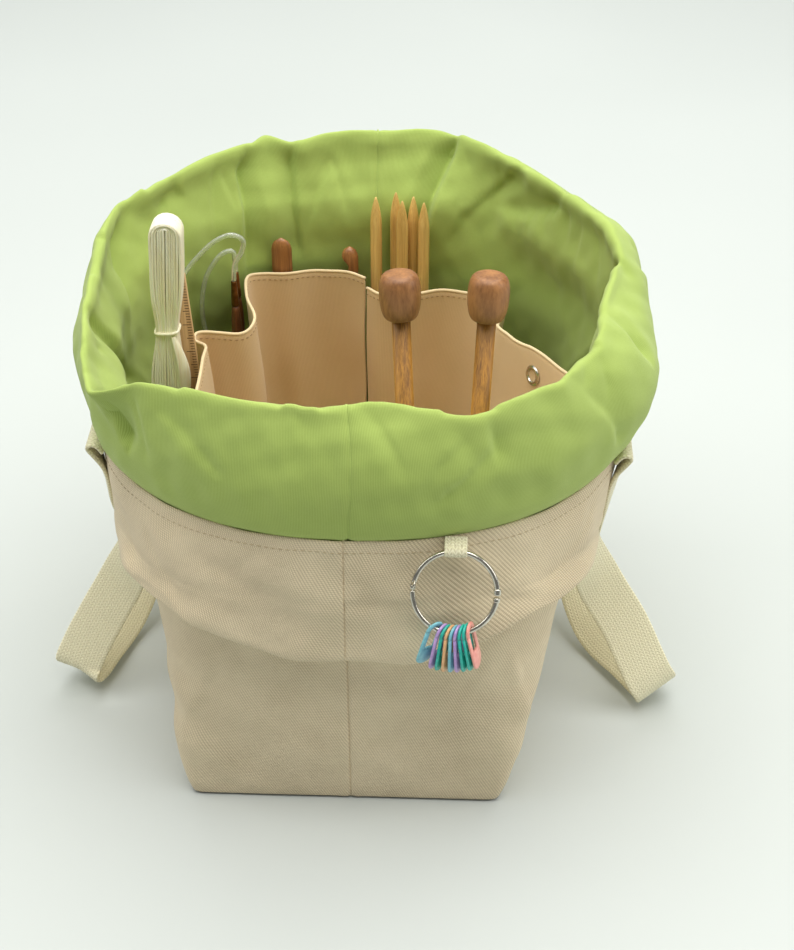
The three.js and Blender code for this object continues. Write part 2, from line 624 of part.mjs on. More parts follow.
// The hank: ribbon yarn folded to and fro, tied near the top, as its outer shape.
function hankOutline(low, high) {
  const half = HANK_WIDTH / 2;
  const shape = new THREE.Shape();
  shape.moveTo(-half, high - half);
  shape.absarc(0, high - half, half, Math.PI, 0, true);
  shape.lineTo(half, low + half);
  shape.absarc(0, low + half, half, 0, -Math.PI, true);
  shape.closePath();
  return shape;
}
const hankLength = new THREE.Vector3(...HANK_TOP).distanceTo(new THREE.Vector3(...HANK_BOTTOM));
const hankFrame = frameAlong(HANK_BOTTOM, HANK_TOP);
const hank = new THREE.ExtrudeGeometry(hankOutline(0, hankLength), {
  depth: HANK_DEPTH, bevelEnabled: false, curveSegments: 8,
}).rotateX(Math.PI / 2).translate(0, HANK_DEPTH / 2, 0);
const TIE_WIDTH = 4;
const tieBlock = (width, depth, height) => new THREE.BoxGeometry(width, depth, height)
  .translate(0, 0, HANK_TIE_HEIGHT);
const neck = toSolid(tieBlock(HANK_WIDTH - 3, HANK_DEPTH - 3, TIE_WIDTH + 2 * GAP));
const waist = toSolid(tieBlock(2 * HANK_WIDTH, 2 * HANK_DEPTH, TIE_WIDTH + 2 * GAP)).subtract(neck);
addPiece('raffia_hank', toGeometry(toSolid(hank).subtract(waist)), LOOK.raffia(), hankFrame);

const tieInside = toSolid(tieBlock(HANK_WIDTH - 3 + 2 * GAP, HANK_DEPTH - 3 + 2 * GAP, 2 * TIE_WIDTH));
const tie = toSolid(tieBlock(HANK_WIDTH - 0.2, HANK_DEPTH - 0.2, TIE_WIDTH)).subtract(tieInside);
addPiece('hank_tie', toGeometry(tie), LOOK.raffia(), hankFrame);

const ruler = new THREE.BoxGeometry(...RULER_SIZE).translate(0, 0, RULER_SIZE[2] / 2);
addPiece('ruler', ruler, LOOK.ruler(), frameAlong(RULER_BOTTOM, RULER_TOP));

export default model;
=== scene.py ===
"""The looks of the knitting bag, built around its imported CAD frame. Lengths are in mm unless said."""
import math
import random

import bpy
import numpy as np
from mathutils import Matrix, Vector


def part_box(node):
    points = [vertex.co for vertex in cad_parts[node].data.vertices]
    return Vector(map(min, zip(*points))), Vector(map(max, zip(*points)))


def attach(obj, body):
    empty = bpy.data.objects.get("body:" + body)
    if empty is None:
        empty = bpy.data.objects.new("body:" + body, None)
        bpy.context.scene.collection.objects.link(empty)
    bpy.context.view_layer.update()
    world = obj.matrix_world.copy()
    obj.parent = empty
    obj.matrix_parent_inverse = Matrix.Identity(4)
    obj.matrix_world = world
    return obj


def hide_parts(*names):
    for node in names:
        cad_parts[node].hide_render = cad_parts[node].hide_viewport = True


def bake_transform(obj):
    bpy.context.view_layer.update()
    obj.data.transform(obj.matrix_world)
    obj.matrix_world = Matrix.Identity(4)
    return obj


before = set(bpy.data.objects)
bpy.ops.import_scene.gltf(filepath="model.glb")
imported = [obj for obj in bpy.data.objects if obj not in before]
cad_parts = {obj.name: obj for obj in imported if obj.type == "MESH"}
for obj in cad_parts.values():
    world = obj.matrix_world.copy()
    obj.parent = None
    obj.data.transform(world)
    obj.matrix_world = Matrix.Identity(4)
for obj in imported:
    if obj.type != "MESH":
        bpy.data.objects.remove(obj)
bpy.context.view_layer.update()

MM = 0.001


def placed(name, data):
    """A new object that shows some data."""
    made = bpy.data.objects.new(name, data)
    bpy.context.scene.collection.objects.link(made)
    return made


# ---------------------------------------------------------------- camera

LENS_MM = 60.63
SENSOR_MM = 36
# in metres
AIM = Vector((0.022, 0.0, 0.120))
DISTANCE = 0.8
ELEVATION = math.radians(37)
AZIMUTH = math.radians(2)


def make_camera():
    data = bpy.data.cameras.new("camera")
    data.lens = LENS_MM
    data.sensor_width = SENSOR_MM
    data.sensor_fit = "AUTO"
    data.clip_start = 0.01
    camera = placed("camera", data)
    away = Vector((
        math.sin(AZIMUTH) * math.cos(ELEVATION),
        -math.cos(AZIMUTH) * math.cos(ELEVATION),
        math.sin(ELEVATION),
    ))
    camera.location = AIM + away * DISTANCE
    camera.rotation_euler = (-away).to_track_quat("-Z", "Y").to_euler()
    bpy.context.scene.camera = camera


make_camera()


# ---------------------------------------------------------------- node helpers

def linear(red, green, blue):
    """A colour given as 0 to 255, as the linear colour that a shader takes."""
    def one(value):
        value /= 255
        return value / 12.92 if value <= 0.04045 else ((value + 0.055) / 1.055) ** 2.4
    return (one(red), one(green), one(blue), 1.0)


class Look:
    """A procedural material, with short calls to add and wire its nodes."""

    def __init__(self, name, rough=0.8, metal=0.0, **sockets):
        self.material = bpy.data.materials.new(name)
        self.material.use_nodes = True
        self.tree = self.material.node_tree
        self.tree.nodes.clear()
        self.shader = self.node("ShaderNodeBsdfPrincipled")
        out = self.node("ShaderNodeOutputMaterial")
        self.wire(self.shader.outputs["BSDF"], out.inputs["Surface"])
        self.shader.inputs["Roughness"].default_value = rough
        self.shader.inputs["Metallic"].default_value = metal
        for socket, value in sockets.items():
            self.shader.inputs[socket.replace("_", " ")].default_value = value

    def node(self, kind, **settings):
        made = self.tree.nodes.new(kind)
        for key, value in settings.items():
            setattr(made, key, value)
        return made

    def wire(self, source, target):
        self.tree.links.new(source, target)

    def put(self, value, target):
        """A number, a colour or a socket into an input."""
        if isinstance(value, bpy.types.NodeSocket):
            self.wire(value, target)
        else:
            target.default_value = value

    def math(self, operation, a, b=0.0):
        made = self.node("ShaderNodeMath", operation=operation)
        self.put(a, made.inputs[0])
        self.put(b, made.inputs[1])
        return made.outputs[0]

    def add(self, a, b):
        return self.math("ADD", a, b)

    def times(self, a, b):
        return self.math("MULTIPLY", a, b)

    def uv(self):
        """The two distances along a piece's surface, in mm."""
        uv_map = self.node("ShaderNodeUVMap", uv_map="cloth")
        split = self.node("ShaderNodeSeparateXYZ")
        self.wire(uv_map.outputs[0], split.inputs[0])
        return split.outputs[0], split.outputs[1]

    def place(self, stretch=(1, 1, 1)):
        """The place on the piece in its own metres, stretched by three factors."""
        coordinates = self.node("ShaderNodeTexCoord")
        mapping = self.node("ShaderNodeMapping")
        mapping.inputs["Scale"].default_value = stretch
        self.wire(coordinates.outputs["Object"], mapping.inputs["Vector"])
        return mapping.outputs[0]

    def noise(self, place, scale, detail=3.0, rough=0.55):
        made = self.node("ShaderNodeTexNoise")
        self.wire(place, made.inputs["Vector"])
        made.inputs["Scale"].default_value = scale
        made.inputs["Detail"].default_value = detail
        made.inputs["Roughness"].default_value = rough
        return made.outputs["Fac"]

    def ramp(self, value, stops):
        """Colours given as 0 to 255, each at its place along a value."""
        made = self.node("ShaderNodeValToRGB")
        self.wire(value, made.inputs[0])
        elements = made.color_ramp.elements
        while len(elements) < len(stops):
            elements.new(0.5)
        for element, (where, colour) in zip(elements, stops):
            element.position = where
            element.color = linear(*colour)
        return made.outputs[0]

    def blend(self, amount, first, second):
        made = self.node("ShaderNodeMix", data_type="RGBA")
        self.put(amount, made.inputs[0])
        self.put(first, made.inputs[6])
        self.put(second, made.inputs[7])
        return made.outputs[2]

    def bump(self, height, strength, depth):
        made = self.node("ShaderNodeBump")
        made.inputs["Strength"].default_value = strength
        made.inputs["Distance"].default_value = depth
        self.wire(height, made.inputs["Height"])
        self.wire(made.outputs[0], self.shader.inputs["Normal"])

    def colour(self, value):
        self.put(value, self.shader.inputs["Base Color"])

    def wave(self, distance, pitch, phase=0.0):
        """A sine from 0 to 1 along a distance, one turn every pitch."""
        turned = self.times(distance, 2 * math.pi / pitch)
        sine = self.math("SINE", self.add(turned, phase))
        return self.add(self.times(sine, 0.5), 0.5)


# ---------------------------------------------------------------- materials

def cloth_look(name, light, dark, pitch, slant, depth, fleck=0.35, sheen=0.15):
    """Woven cotton: threads crossing at a pitch, the columns leaning by slant, with uneven yarn."""
    look = Look(name, rough=0.92, Sheen_Weight=sheen, Sheen_Roughness=0.6, Specular_IOR_Level=0.2)
    across, along = look.uv()
    leaning = look.add(across, look.times(along, slant))
    place = look.place()
    wobble = look.times(look.noise(place, 260, 2), 2.2)
    columns = look.wave(look.add(leaning, look.times(wobble, 0.08)), pitch)
    rows = look.wave(along, pitch * 0.72)
    weave = look.times(look.add(columns, 0.25), look.add(rows, 0.45))
    yarn = look.noise(place, 900, 2)
    height = look.add(weave, look.times(yarn, fleck))
    cloud = look.noise(place, 28, 4)
    shade = look.add(look.times(height, 0.42), look.times(cloud, 0.5))
    look.colour(look.ramp(shade, [(0.18, dark), (0.78, light)]))
    look.bump(height, 0.42, depth * MM)
    return look.material


def webbing_look():
    """Cotton tape: lengthwise ribs of small chevrons, with a turned selvedge at each edge."""
    look = Look("webbing", rough=0.9, Sheen_Weight=0.2, Specular_IOR_Level=0.2)
    across, along = look.uv()
    rib = look.wave(across, 1.5)
    zigzag = look.math("ABSOLUTE", look.math("SUBTRACT", look.wave(across, 5.2), 0.5))
    stitch = look.wave(look.add(along, look.times(zigzag, 3.0)), 1.7)
    fuzz = look.noise(look.place(), 1100, 2)
    height = look.add(look.times(rib, 0.32), look.times(stitch, 0.5))
    height = look.add(height, look.times(fuzz, 0.35))
    look.colour(look.ramp(height, [(0.15, (218, 209, 172)), (0.85, (246, 240, 208))]))
    look.bump(height, 0.7, 0.5 * MM)
    return look.material


def wood_look(name, light, dark, rough, stretch, scale=60, coat=0.0, pores=0.35):
    """Wood or bamboo: lengthwise grain and darker pores. stretch is small along the grain."""
    look = Look(name, rough=rough, Coat_Weight=coat, Coat_Roughness=0.25)
    place = look.place(stretch)
    grain = look.noise(place, scale, 5, 0.6)
    fine = look.noise(place, scale * 7, 3, 0.6)
    streak = look.add(look.times(grain, 1 - pores), look.times(fine, pores))
    look.colour(look.ramp(streak, [(0.36, dark), (0.62, light)]))
    look.bump(streak, 0.25, 0.12 * MM)
    return look.material


def metal_look(name, colour, worn, rough):
    """Plated metal: fine brushed scratches and slightly duller patches."""
    look = Look(name, rough=rough, metal=1.0)
    scratches = look.noise(look.place((1, 1, 6)), 900, 4, 0.7)
    patches = look.noise(look.place(), 220, 3)
    look.colour(look.ramp(patches, [(0.3, worn), (0.65, colour)]))
    spread = look.add(look.times(patches, 0.12), rough - 0.05)
    look.wire(spread, look.shader.inputs["Roughness"])
    look.bump(scratches, 0.04, 0.02 * MM)
    return look.material


def lacquer_look(name, colour, deep):
    """A coloured marker: thin anodised skin over metal, a little cloudy."""
    look = Look(name, rough=0.38, metal=0.05, Coat_Weight=0.3, Coat_Roughness=0.2)
    cloud = look.noise(look.place(), 500, 3)
    look.colour(look.ramp(cloud, [(0.3, deep), (0.7, colour)]))
    look.bump(cloud, 0.15, 0.05 * MM)
    return look.material


def clear_look():
    """Clear nylon cable, faintly cloudy."""
    look = Look("clear_cable", rough=0.08, Transmission_Weight=0.75, IOR=1.49, Specular_IOR_Level=0.9)
    cloud = look.noise(look.place(), 400, 2)
    look.colour(look.ramp(cloud, [(0.3, (232, 238, 222)), (0.7, (252, 254, 246))]))
    look.bump(cloud, 0.1, 0.04 * MM)
    return look.material


def raffia_look():
    """Pale dry ribbon: long fibres with a few brown and pinkish streaks."""
    look = Look("raffia", rough=0.62, Sheen_Weight=0.1)
    fibres = look.noise(look.place((1, 1, 0.05)), 700, 4, 0.65)
    bands = look.noise(look.place((1, 1, 0.02)), 260, 2)
    base = look.ramp(fibres, [(0.25, (246, 232, 190)), (0.7, (255, 253, 232))])
    streak = look.ramp(bands, [(0.62, (0, 0, 0)), (0.72, (255, 255, 255))])
    look.colour(look.blend(look.times(streak, 0.4), base, linear(196, 148, 104)))
    look.bump(fibres, 0.35, 0.15 * MM)
    return look.material


LINING = cloth_look("lining", (177, 197, 105), (140, 161, 72), 0.62, 0.0, 0.05, 0.3)
CANVAS = cloth_look("canvas", (236, 220, 187), (174, 154, 121), 1.35, 0.5, 0.28)
POCKET = cloth_look("pocket_canvas", (222, 192, 146), (202, 170, 126), 0.7, 0.0, 0.06, 0.3)
HEM = cloth_look("pocket_hem", (232, 208, 166), (206, 178, 138), 0.8, 0.0, 0.14, 0.3)
WEBBING = webbing_look()
NICKEL = metal_look("nickel", (222, 218, 206), (190, 184, 170), 0.2)
BAMBOO = wood_look("bamboo", (240, 202, 122), (196, 150, 76), 0.42, (1, 1, 0.03), 320, 0.15)
SHAFT = wood_look("bamboo_dark", (192, 134, 46), (116, 74, 20), 0.5, (1, 1, 0.02), 420, 0.05, 0.5)
KNOB = wood_look("knob_wood", (172, 118, 66), (118, 74, 36), 0.5, (1, 1, 0.25), 120, 0.1)
HOOK = wood_look("hook_wood", (176, 118, 66), (120, 76, 38), 0.4, (1, 1, 0.03), 360, 0.2)
DARK = wood_look("dark_wood", (120, 70, 36), (74, 40, 18), 0.4, (1, 1, 0.03), 360, 0.2)
RULER = wood_look("ruler_wood", (214, 178, 128), (176, 138, 92), 0.55, (1, 1, 0.03), 260)
FERRULE = metal_look("brown_ferrule", (136, 96, 60), (100, 66, 38), 0.3)
CLEAR = clear_look()
RAFFIA = raffia_look()
INK = wood_look("ruler_ink", (74, 58, 42), (48, 38, 28), 0.7, (1, 1, 0.5), 400)
THREAD = cloth_look("thread", (206, 186, 150), (150, 130, 98), 0.5, 0.5, 0.05)
SEAM_THREAD = cloth_look("thread_brown", (176, 140, 98), (132, 100, 66), 0.5, 0.5, 0.05)
MARKER = {colour: lacquer_look("marker_" + colour, light, deep) for colour, light, deep in (
    ("blue", (140, 206, 216), (112, 184, 200)),
    ("lilac", (204, 170, 222), (172, 138, 200)),
    ("teal", (52, 196, 178), (30, 168, 152)),
    ("orange", (240, 190, 138), (222, 164, 112)),
    ("pink", (250, 176, 162), (240, 150, 138)),
)}


# ---------------------------------------------------------------- mesh helpers

def shown(name, mesh, look):
    """A mesh as a smooth piece of the scene with one material."""
    mesh.polygons.foreach_set("use_smooth", [True] * len(mesh.polygons))
    mesh.update()
    mesh.materials.append(look)
    return placed(name, mesh)


def quads(rows, columns, closed, start=0):
    """Faces between neighbouring rows of points, which are numbered from start."""
    faces = []
    for i in range(rows - 1):
        here, above = start + i * columns, start + (i + 1) * columns
        for j in range(columns if closed else columns - 1):
            k = (j + 1) % columns
            faces.append((here + j, here + k, above + k, above + j))
    return faces


def grid_piece(name, points, look, layer_uv=None, closed=False, thickness=0.0, smooth=1):
    """A sheet from rows of points in mm. layer_uv holds the same rows of flat distances in mm."""
    rows, columns = points.shape[:2]
    if layer_uv is None:
        layer_uv = np.zeros((rows, columns + 1, 2))
    mesh = bpy.data.meshes.new(name)
    mesh.from_pydata((points.reshape(-1, 3) * MM).tolist(), [], quads(rows, columns, closed))
    last = columns if closed else columns - 1
    corners = np.stack([layer_uv[:-1, :last], layer_uv[:-1, 1:last + 1],
                        layer_uv[1:, 1:last + 1], layer_uv[1:, :last]], axis=2)
    mesh.uv_layers.new(name="cloth").data.foreach_set("uv", corners.astype(np.float32).ravel())
    piece = shown(name, mesh, look)
    if thickness:
        solid = piece.modifiers.new("thickness", "SOLIDIFY")
        solid.thickness = thickness * MM
        solid.offset = 0.0
    if smooth:
        rounder = piece.modifiers.new("smooth", "SUBSURF")
        rounder.levels = smooth
        rounder.render_levels = smooth
    return piece


def lofted(name, rows, look):
    """A closed skin through rows of points in mm."""
    return grid_piece(name, np.array(rows), look, closed=True, smooth=0)


def travelled_along(line):
    """How far along a line of points each of them is."""
    steps = np.linalg.norm(np.diff(line[:, :3], axis=0), axis=1)
    return np.concatenate([[0], np.cumsum(steps)])


def flat_distances(points):
    """For each point of a sheet, how far along its row and its column it is, in mm."""
    rows, columns = points.shape[:2]
    across = np.zeros((rows, columns))
    across[:, 1:] = np.cumsum(np.linalg.norm(np.diff(points, axis=1), axis=2), axis=1)
    across = across - across.mean(axis=1, keepdims=True)
    across = np.broadcast_to(across.mean(axis=0, keepdims=True), across.shape)
    along = np.zeros((rows, columns))
    along[1:] = np.cumsum(np.linalg.norm(np.diff(points, axis=0), axis=2), axis=0)
    return np.stack([across, along], axis=2)


def spline(stations, count, per_span=24):
    """Evenly spread points along a smooth curve through the stations."""
    stations = np.array(stations, float)
    padded = np.vstack([2 * stations[0] - stations[1], stations, 2 * stations[-1] - stations[-2]])
    dense = []
    for i in range(1, len(padded) - 2):
        p0, p1, p2, p3 = padded[i - 1:i + 3]
        d0, d1, d2 = (max(math.sqrt(float(np.linalg.norm((b - a)[:3]))), 1e-4)
                      for a, b in ((p0, p1), (p1, p2), (p2, p3)))
        m1 = ((p1 - p0) / d0 - (p2 - p0) / (d0 + d1) + (p2 - p1) / d1) * d1
        m2 = ((p2 - p1) / d1 - (p3 - p1) / (d1 + d2) + (p3 - p2) / d2) * d1
        for t in np.linspace(0, 1, per_span, endpoint=False):
            dense.append(p1 + m1 * t + (-3 * p1 + 3 * p2 - 2 * m1 - m2) * t * t
                         + (2 * p1 - 2 * p2 + m1 + m2) * t ** 3)
    dense.append(padded[-2])
    dense = np.array(dense)
    travelled = travelled_along(dense)
    wanted = np.linspace(0, travelled[-1], count)
    return np.stack([np.interp(wanted, travelled, dense[:, k]) for k in range(dense.shape[1])], axis=1)


def unit(vectors):
    return vectors / np.maximum(np.linalg.norm(vectors, axis=-1, keepdims=True), 1e-9)


def tube(name, path, radii, look, sides=20, squash=1.0, wide=None):
    """A round or flattened rod along a path of points in mm, with a radius at each point."""
    path = np.array(path, float)
    radii = np.broadcast_to(np.array(radii, float), (len(path),))
    tangents = unit(np.gradient(path, axis=0))
    first = np.array(wide if wide is not None else (1.0, 0.0, 0.0))
    if abs(float(first @ tangents[0])) > 0.9:
        first = np.array((0.0, 1.0, 0.0))
    normals = []
    for tangent in tangents:
        first = first - tangent * float(first @ tangent)
        first = first / np.linalg.norm(first)
        normals.append(first)
    normals = np.array(normals)
    binormals = np.cross(tangents, normals)
    turn = np.linspace(0, 2 * math.pi, sides, endpoint=False)
    ring = (np.cos(turn)[None, :, None] * normals[:, None] * radii[:, None, None]
            + np.sin(turn)[None, :, None] * binormals[:, None] * radii[:, None, None] * squash)
    points = path[:, None] + ring
    count = len(path)
    vertices = np.concatenate([points.reshape(-1, 3), path[:1], path[-1:]])
    faces = quads(count, sides, True)
    for j in range(sides):
        k = (j + 1) % sides
        faces.append((count * sides, k, j))
        faces.append((count * sides + 1, (count - 1) * sides + j, (count - 1) * sides + k))
    mesh = bpy.data.meshes.new(name)
    mesh.from_pydata((vertices * MM).tolist(), [], faces)
    return shown(name, mesh, look)


def turned(name, foot, top, profile, look, sides=32):
    """A piece turned on a lathe: profile holds [distance from the foot, radius] in mm."""
    foot, top = np.array(foot, float), np.array(top, float)
    axis = unit(top - foot)
    profile = np.array(profile, float)
    path = foot + axis * profile[:, :1]
    side = unit(np.cross(axis, (0, 1, 0)))
    turn = np.linspace(0, 2 * math.pi, sides, endpoint=False)
    ring = np.cos(turn)[:, None] * side + np.sin(turn)[:, None] * np.cross(axis, side)
    return lofted(name, path[:, None] + ring[None] * profile[:, 1:, None], look)


def joined(name, pieces):
    """Several meshes as one piece."""
    for piece in bpy.context.selected_objects:
        piece.select_set(False)
    for piece in pieces:
        piece.select_set(True)
    bpy.context.view_layer.objects.active = pieces[0]
    bpy.ops.object.join()
    pieces[0].name = name
    return pieces[0]


def on_body(piece, body, material_slot, *nodes):
    """The piece moves with a body and stands for CAD nodes. Its material_slot is not used."""
    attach(piece, body)
    if nodes:
        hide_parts(*nodes)
    return piece


def bag_cloth(name, points, look, material_slot, thickness, layer_uv=None):
    """A sheet of the bag, which stands for the CAD node of the same name."""
    if layer_uv is None:
        layer_uv = flat_distances(points)
    piece = grid_piece("cloth_" + name, points, look, layer_uv, thickness=thickness)
    return on_body(piece, "bag", material_slot, name)


# ---------------------------------------------------------------- the bag's wall

# Rounded outlines of the wall: height, middle x, middle y, half width, half depth, squareness.
SECTIONS = np.array([
    (0, 0, 0, 76, 105.5, 48), (25, 1, 0, 83, 107, 22), (50, 3, 0, 88, 108, 11), (75, 5, 0, 94, 109, 6),
    (100, 5, 0, 100, 110, 4.3), (138, 5, 0, 110, 111, 3), (170, 6, 0, 123, 112, 2.2),
    (205, 8, 3, 125, 110, 2.3), (245, 10, 7, 121, 108, 2.4),
], float)
SEAM_X = 3
# From RIM_START up the wall rises towards the back, by RIM_TILT over RIM_HEIGHT.
RIM_START = 170
RIM_HEIGHT = 75
RIM_TILT = 9
HALF_DEPTH = 112


def outline_at(z):
    """The wall's outline at a height, as the last five values of a section."""
    return (np.interp(z, SECTIONS[:, 0], SECTIONS[:, k]) for k in range(1, 6))


def wall(angle, z, offset):
    """Points of the wall in mm, offset outwards, at angles about its middle. Arrays or numbers."""
    angle, z, offset = np.broadcast_arrays(np.array(angle, float), z, offset)
    cx, cy, a, b, n = outline_at(z)
    c, s = np.cos(angle), np.sin(angle)
    reach = ((np.abs(c) / (a + offset)) ** n + (np.abs(s) / (b + offset)) ** n) ** (-1 / n)
    x, y = cx + reach * c, cy + reach * s
    lift = np.clip((z - RIM_START) / RIM_HEIGHT, 0, None) * RIM_TILT * (y / HALF_DEPTH)
    return np.stack([x, y, z + lift], axis=-1)


def seam_angle(z, offset, end):
    """The angle where the wall meets the seam plane, at the front (end -1) or the back (end 1)."""
    cx, _, _, b, _ = outline_at(z)
    return end * math.pi / 2 + end * np.arctan2(cx - SEAM_X, b + offset)


def half_angles(z, offset, side, columns):
    """Angles from the front seam round one side to the back seam, for each height."""
    front = seam_angle(z, offset, -1)
    back = seam_angle(z, offset, 1)
    t = np.linspace(0, 1, columns)
    if side > 0:
        return front[:, None] + (back - front)[:, None] * t
    return front[:, None] - (2 * math.pi - (back - front))[:, None] * t


def resampled(profile, step):
    """A profile of [height, offset] with points about a step apart, smoothed."""
    return spline(profile, int(travelled_along(np.array(profile, float))[-1] / step))


# ---------------------------------------------------------------- folds in the cloth

def wavering(points, scale, seed):
    """Smooth unevenness from about -1 to 1 at each point, always the same for a seed."""
    draw = np.random.default_rng(seed)
    total = np.zeros(points.shape[:-1])
    for _ in range(7):
        direction = draw.normal(size=3)
        direction = direction / np.linalg.norm(direction) * draw.uniform(0.7, 1.5) * 2 * math.pi / scale
        total = total + np.sin(points @ direction + draw.uniform(0, 2 * math.pi))
    return total / 3.2


def surface_normals(points):
    across = np.gradient(points, axis=1)
    along = np.gradient(points, axis=0)
    return unit(np.cross(across, along))


STEEP_SIDE = 0.24
GENTLE_SIDE = 1.25


def crease_depth(u, v, route, width):
    """How deep inside a fold each place is: 1 on its line, falling off steeply on one side only."""
    hand = math.copysign(1.0, width)
    width = abs(width)
    best = np.zeros(u.shape)
    route = np.array(route, float)
    lengths = np.linalg.norm(np.diff(route, axis=0), axis=1)
    total = lengths.sum()
    travelled = 0.0
    for (u0, v0), (u1, v1), length in zip(route[:-1], route[1:], lengths):
        t = np.clip(((u - u0) * (u1 - u0) + (v - v0) * (v1 - v0)) / length ** 2, 0, 1)
        distance = np.hypot(u - u0 - t * (u1 - u0), v - v0 - t * (v1 - v0))
        fade = 1 - (travelled + t * length) / total
        side = ((u - u0) * (v1 - v0) - (v - v0) * (u1 - u0)) * hand
        reach = width * (0.55 + 0.45 * (1 - fade)) * np.where(side > 0, GENTLE_SIDE, STEEP_SIDE)
        near = np.clip(1 - distance / reach, 0, 1)
        best = np.maximum(best, near ** 1.1 * (0.25 + 0.75 * np.sqrt(np.clip(fade, 0, 1))))
        travelled += length
    return best


# ---------------------------------------------------------------- canvas

CANVAS_CLOTH = 1.1
# The section of the canvas, from its foot up to the band's seam, down to the band's lower fold and up
# again to its edge under the collar: height, offset.
CANVAS_PROFILE = [
    (0.8, -0.3), (10, -0.3), (40, -0.6), (70, -1.2), (90, -1.8), (112, -0.6), (128, 0.8), (136.5, 1.4),
    (138.6, 2.4), (136.5, 3.3), (126, 4.0), (112, 5.2), (104.2, 6.4), (102.4, 7.6), (104.2, 8.8),
    (112, 8.4), (126, 7.2), (138, 6.6), (150, 4.8), (160, 3.4), (165, 2.6), (168, 2.4), (170.6, 1.9),
]
BAND_LOW = 103
BAND_REACH = 36.0
CORNER_RISE = 23.0
SIDE_DROP = 6.0
BAND_SEAM_HEIGHT = 138
BAND_OFFSET = 6.8
BODY_TOP = 97
BUCKLE = 1.2
RIPPLE = 0.35
BULGE = 1.3
CANVAS_TOP = 176
CANVAS_FOOT = 0.7
MEAN_RADIUS = 112.0

# Creases of the canvas, left half (-1) and right half (1): points of [distance from a seam, height] in
# mm, width and depth. A width below 0 puts the steep side on the other hand; a depth below 0 is a ridge.
BAND_CREASES = {
    -1: [([(62, 152), (40, 141), (10, 137)], 7, 0.9), ([(86, 152), (66, 128), (50, 112)], 9, 1.2),
         ([(34, 160), (44, 150), (60, 146)], -6, 0.6), ([(20, 120), (34, 112), (44, 106)], 6, 0.7),
         ([(110, 150), (96, 138), (84, 128)], 9, 1.1)],
    1: [([(0, 137), (30, 139), (66, 150)], 7, 0.9), ([(84, 158), (70, 140), (58, 126)], -8, 1.0),
        ([(30, 112), (46, 120), (62, 130)], 7, 0.9), ([(112, 156), (96, 142), (80, 134)], 9, 1.1)],
}
BODY_CREASES = {
    -1: [([(58, 92), (66, 60), (72, 40)], 12, 1.2), ([(26, 90), (30, 66), (34, 40)], -10, 0.7),
         ([(86, 66), (78, 44), (74, 22)], 9, 1.1)],
    1: [([(60, 92), (50, 70), (46, 44)], 10, 0.9), ([(74, 88), (80, 56), (82, 24)], 9, -1.4),
        ([(14, 88), (20, 66), (22, 44)], -9, 0.6)],
}


def creased(arc, height, creases):
    """How far in the cloth is drawn by its creases."""
    total = np.zeros(arc.shape)
    for route, width, depth in creases:
        total = total + crease_depth(arc, height, route, width) * depth
    return total


def band_lift(angle, z, row_share):
    """The band's lower fold climbs towards the bag's front corners and waves a little elsewhere."""
    sideways = np.abs(np.cos(angle))
    climb = CORNER_RISE * np.clip((sideways - 0.20) / 0.42, 0, 1) ** 1.1
    climb = climb - SIDE_DROP * np.clip((sideways - 0.75) / 0.25, 0, 1)
    wave = 1.1 * np.sin(7 * angle + 0.6) + 0.8 * np.sin(13 * angle + 2.0)
    return (climb + wave) * np.clip(1 - np.abs(z - BAND_LOW) / BAND_REACH, 0, 1) * row_share


def seam_groove(distance, width, shoulder):
    """The dip of a seam and the swell beside it, at distances from the seam."""
    dip = np.exp(-(distance / width) ** 2)
    return 0.4 * dip, np.exp(-((distance - shoulder) / 1.6) ** 2)


def make_canvas(side, columns=200):
    """One half of the canvas with its folded band, and its points."""
    profile = resampled(CANVAS_PROFILE, 3.0)
    z, offset = profile[:, :1], profile[:, 1:]
    row = np.arange(len(z))[:, None]
    angles = half_angles(profile[:, 0], profile[:, 1], side, columns)
    fold = int(np.argmax(offset > BAND_OFFSET))
    outer = np.clip((row - fold) / 4, 0, 1)
    in_band = row > fold
    arc = MEAN_RADIUS * np.minimum(np.abs(angles - angles[:, :1]), np.abs(angles - angles[:, -1:]))
    dip, swell = seam_groove(arc, 0.8, 3.2)
    lifted = z + band_lift(angles, z, np.clip((row - fold * 0.45) / (fold * 0.4), 0, 1))
    smooth_wall = wall(angles, z, offset)
    body = np.clip((BODY_TOP - z) / 60, 0, 1)
    buckle = wavering(smooth_wall, 62, 11) * BUCKLE * np.clip(np.sin(np.clip(z / 100, 0, 1) * math.pi), 0, 1)
    ripple = wavering(smooth_wall, 24, 12) * RIPPLE
    stitched = 0.45 * np.exp(-((z - BAND_SEAM_HEIGHT) / 1.3) ** 2) * outer
    bulge = wavering(smooth_wall, 40, 13) * BULGE * outer * np.clip((168 - z) / 12, 0, 1)
    drawn_in = np.where(in_band, creased(arc, lifted, BAND_CREASES[side]),
                        creased(arc, lifted, BODY_CREASES[side]))
    drawn_in = np.where(in_band | (z < BODY_TOP + 1), drawn_in, 0)
    total = offset - drawn_in - dip + 0.3 * swell + buckle * body + ripple * (z > 6) - stitched + bulge
    points = wall(angles, lifted, total)
    points[..., 2] = np.clip(points[..., 2], CANVAS_FOOT, CANVAS_TOP)
    name = "canvas_right" if side > 0 else "canvas_left"
    layer = flat_distances(points) * np.array((side, 1.0))
    return bag_cloth(name, points, CANVAS, "canvas", CANVAS_CLOTH, layer), points


def seam_welt(name, points, look, material_slot, radius, sink):
    """A rounded seam allowance that closes a seam from behind, along a cloth's first column."""
    line = points[:, 0] - surface_normals(points)[:, 0] * sink
    return on_body(tube(name, line, radius, look, sides=10), "bag", material_slot)


canvas_right, canvas_right_points = make_canvas(1)
canvas_left, canvas_left_points = make_canvas(-1)


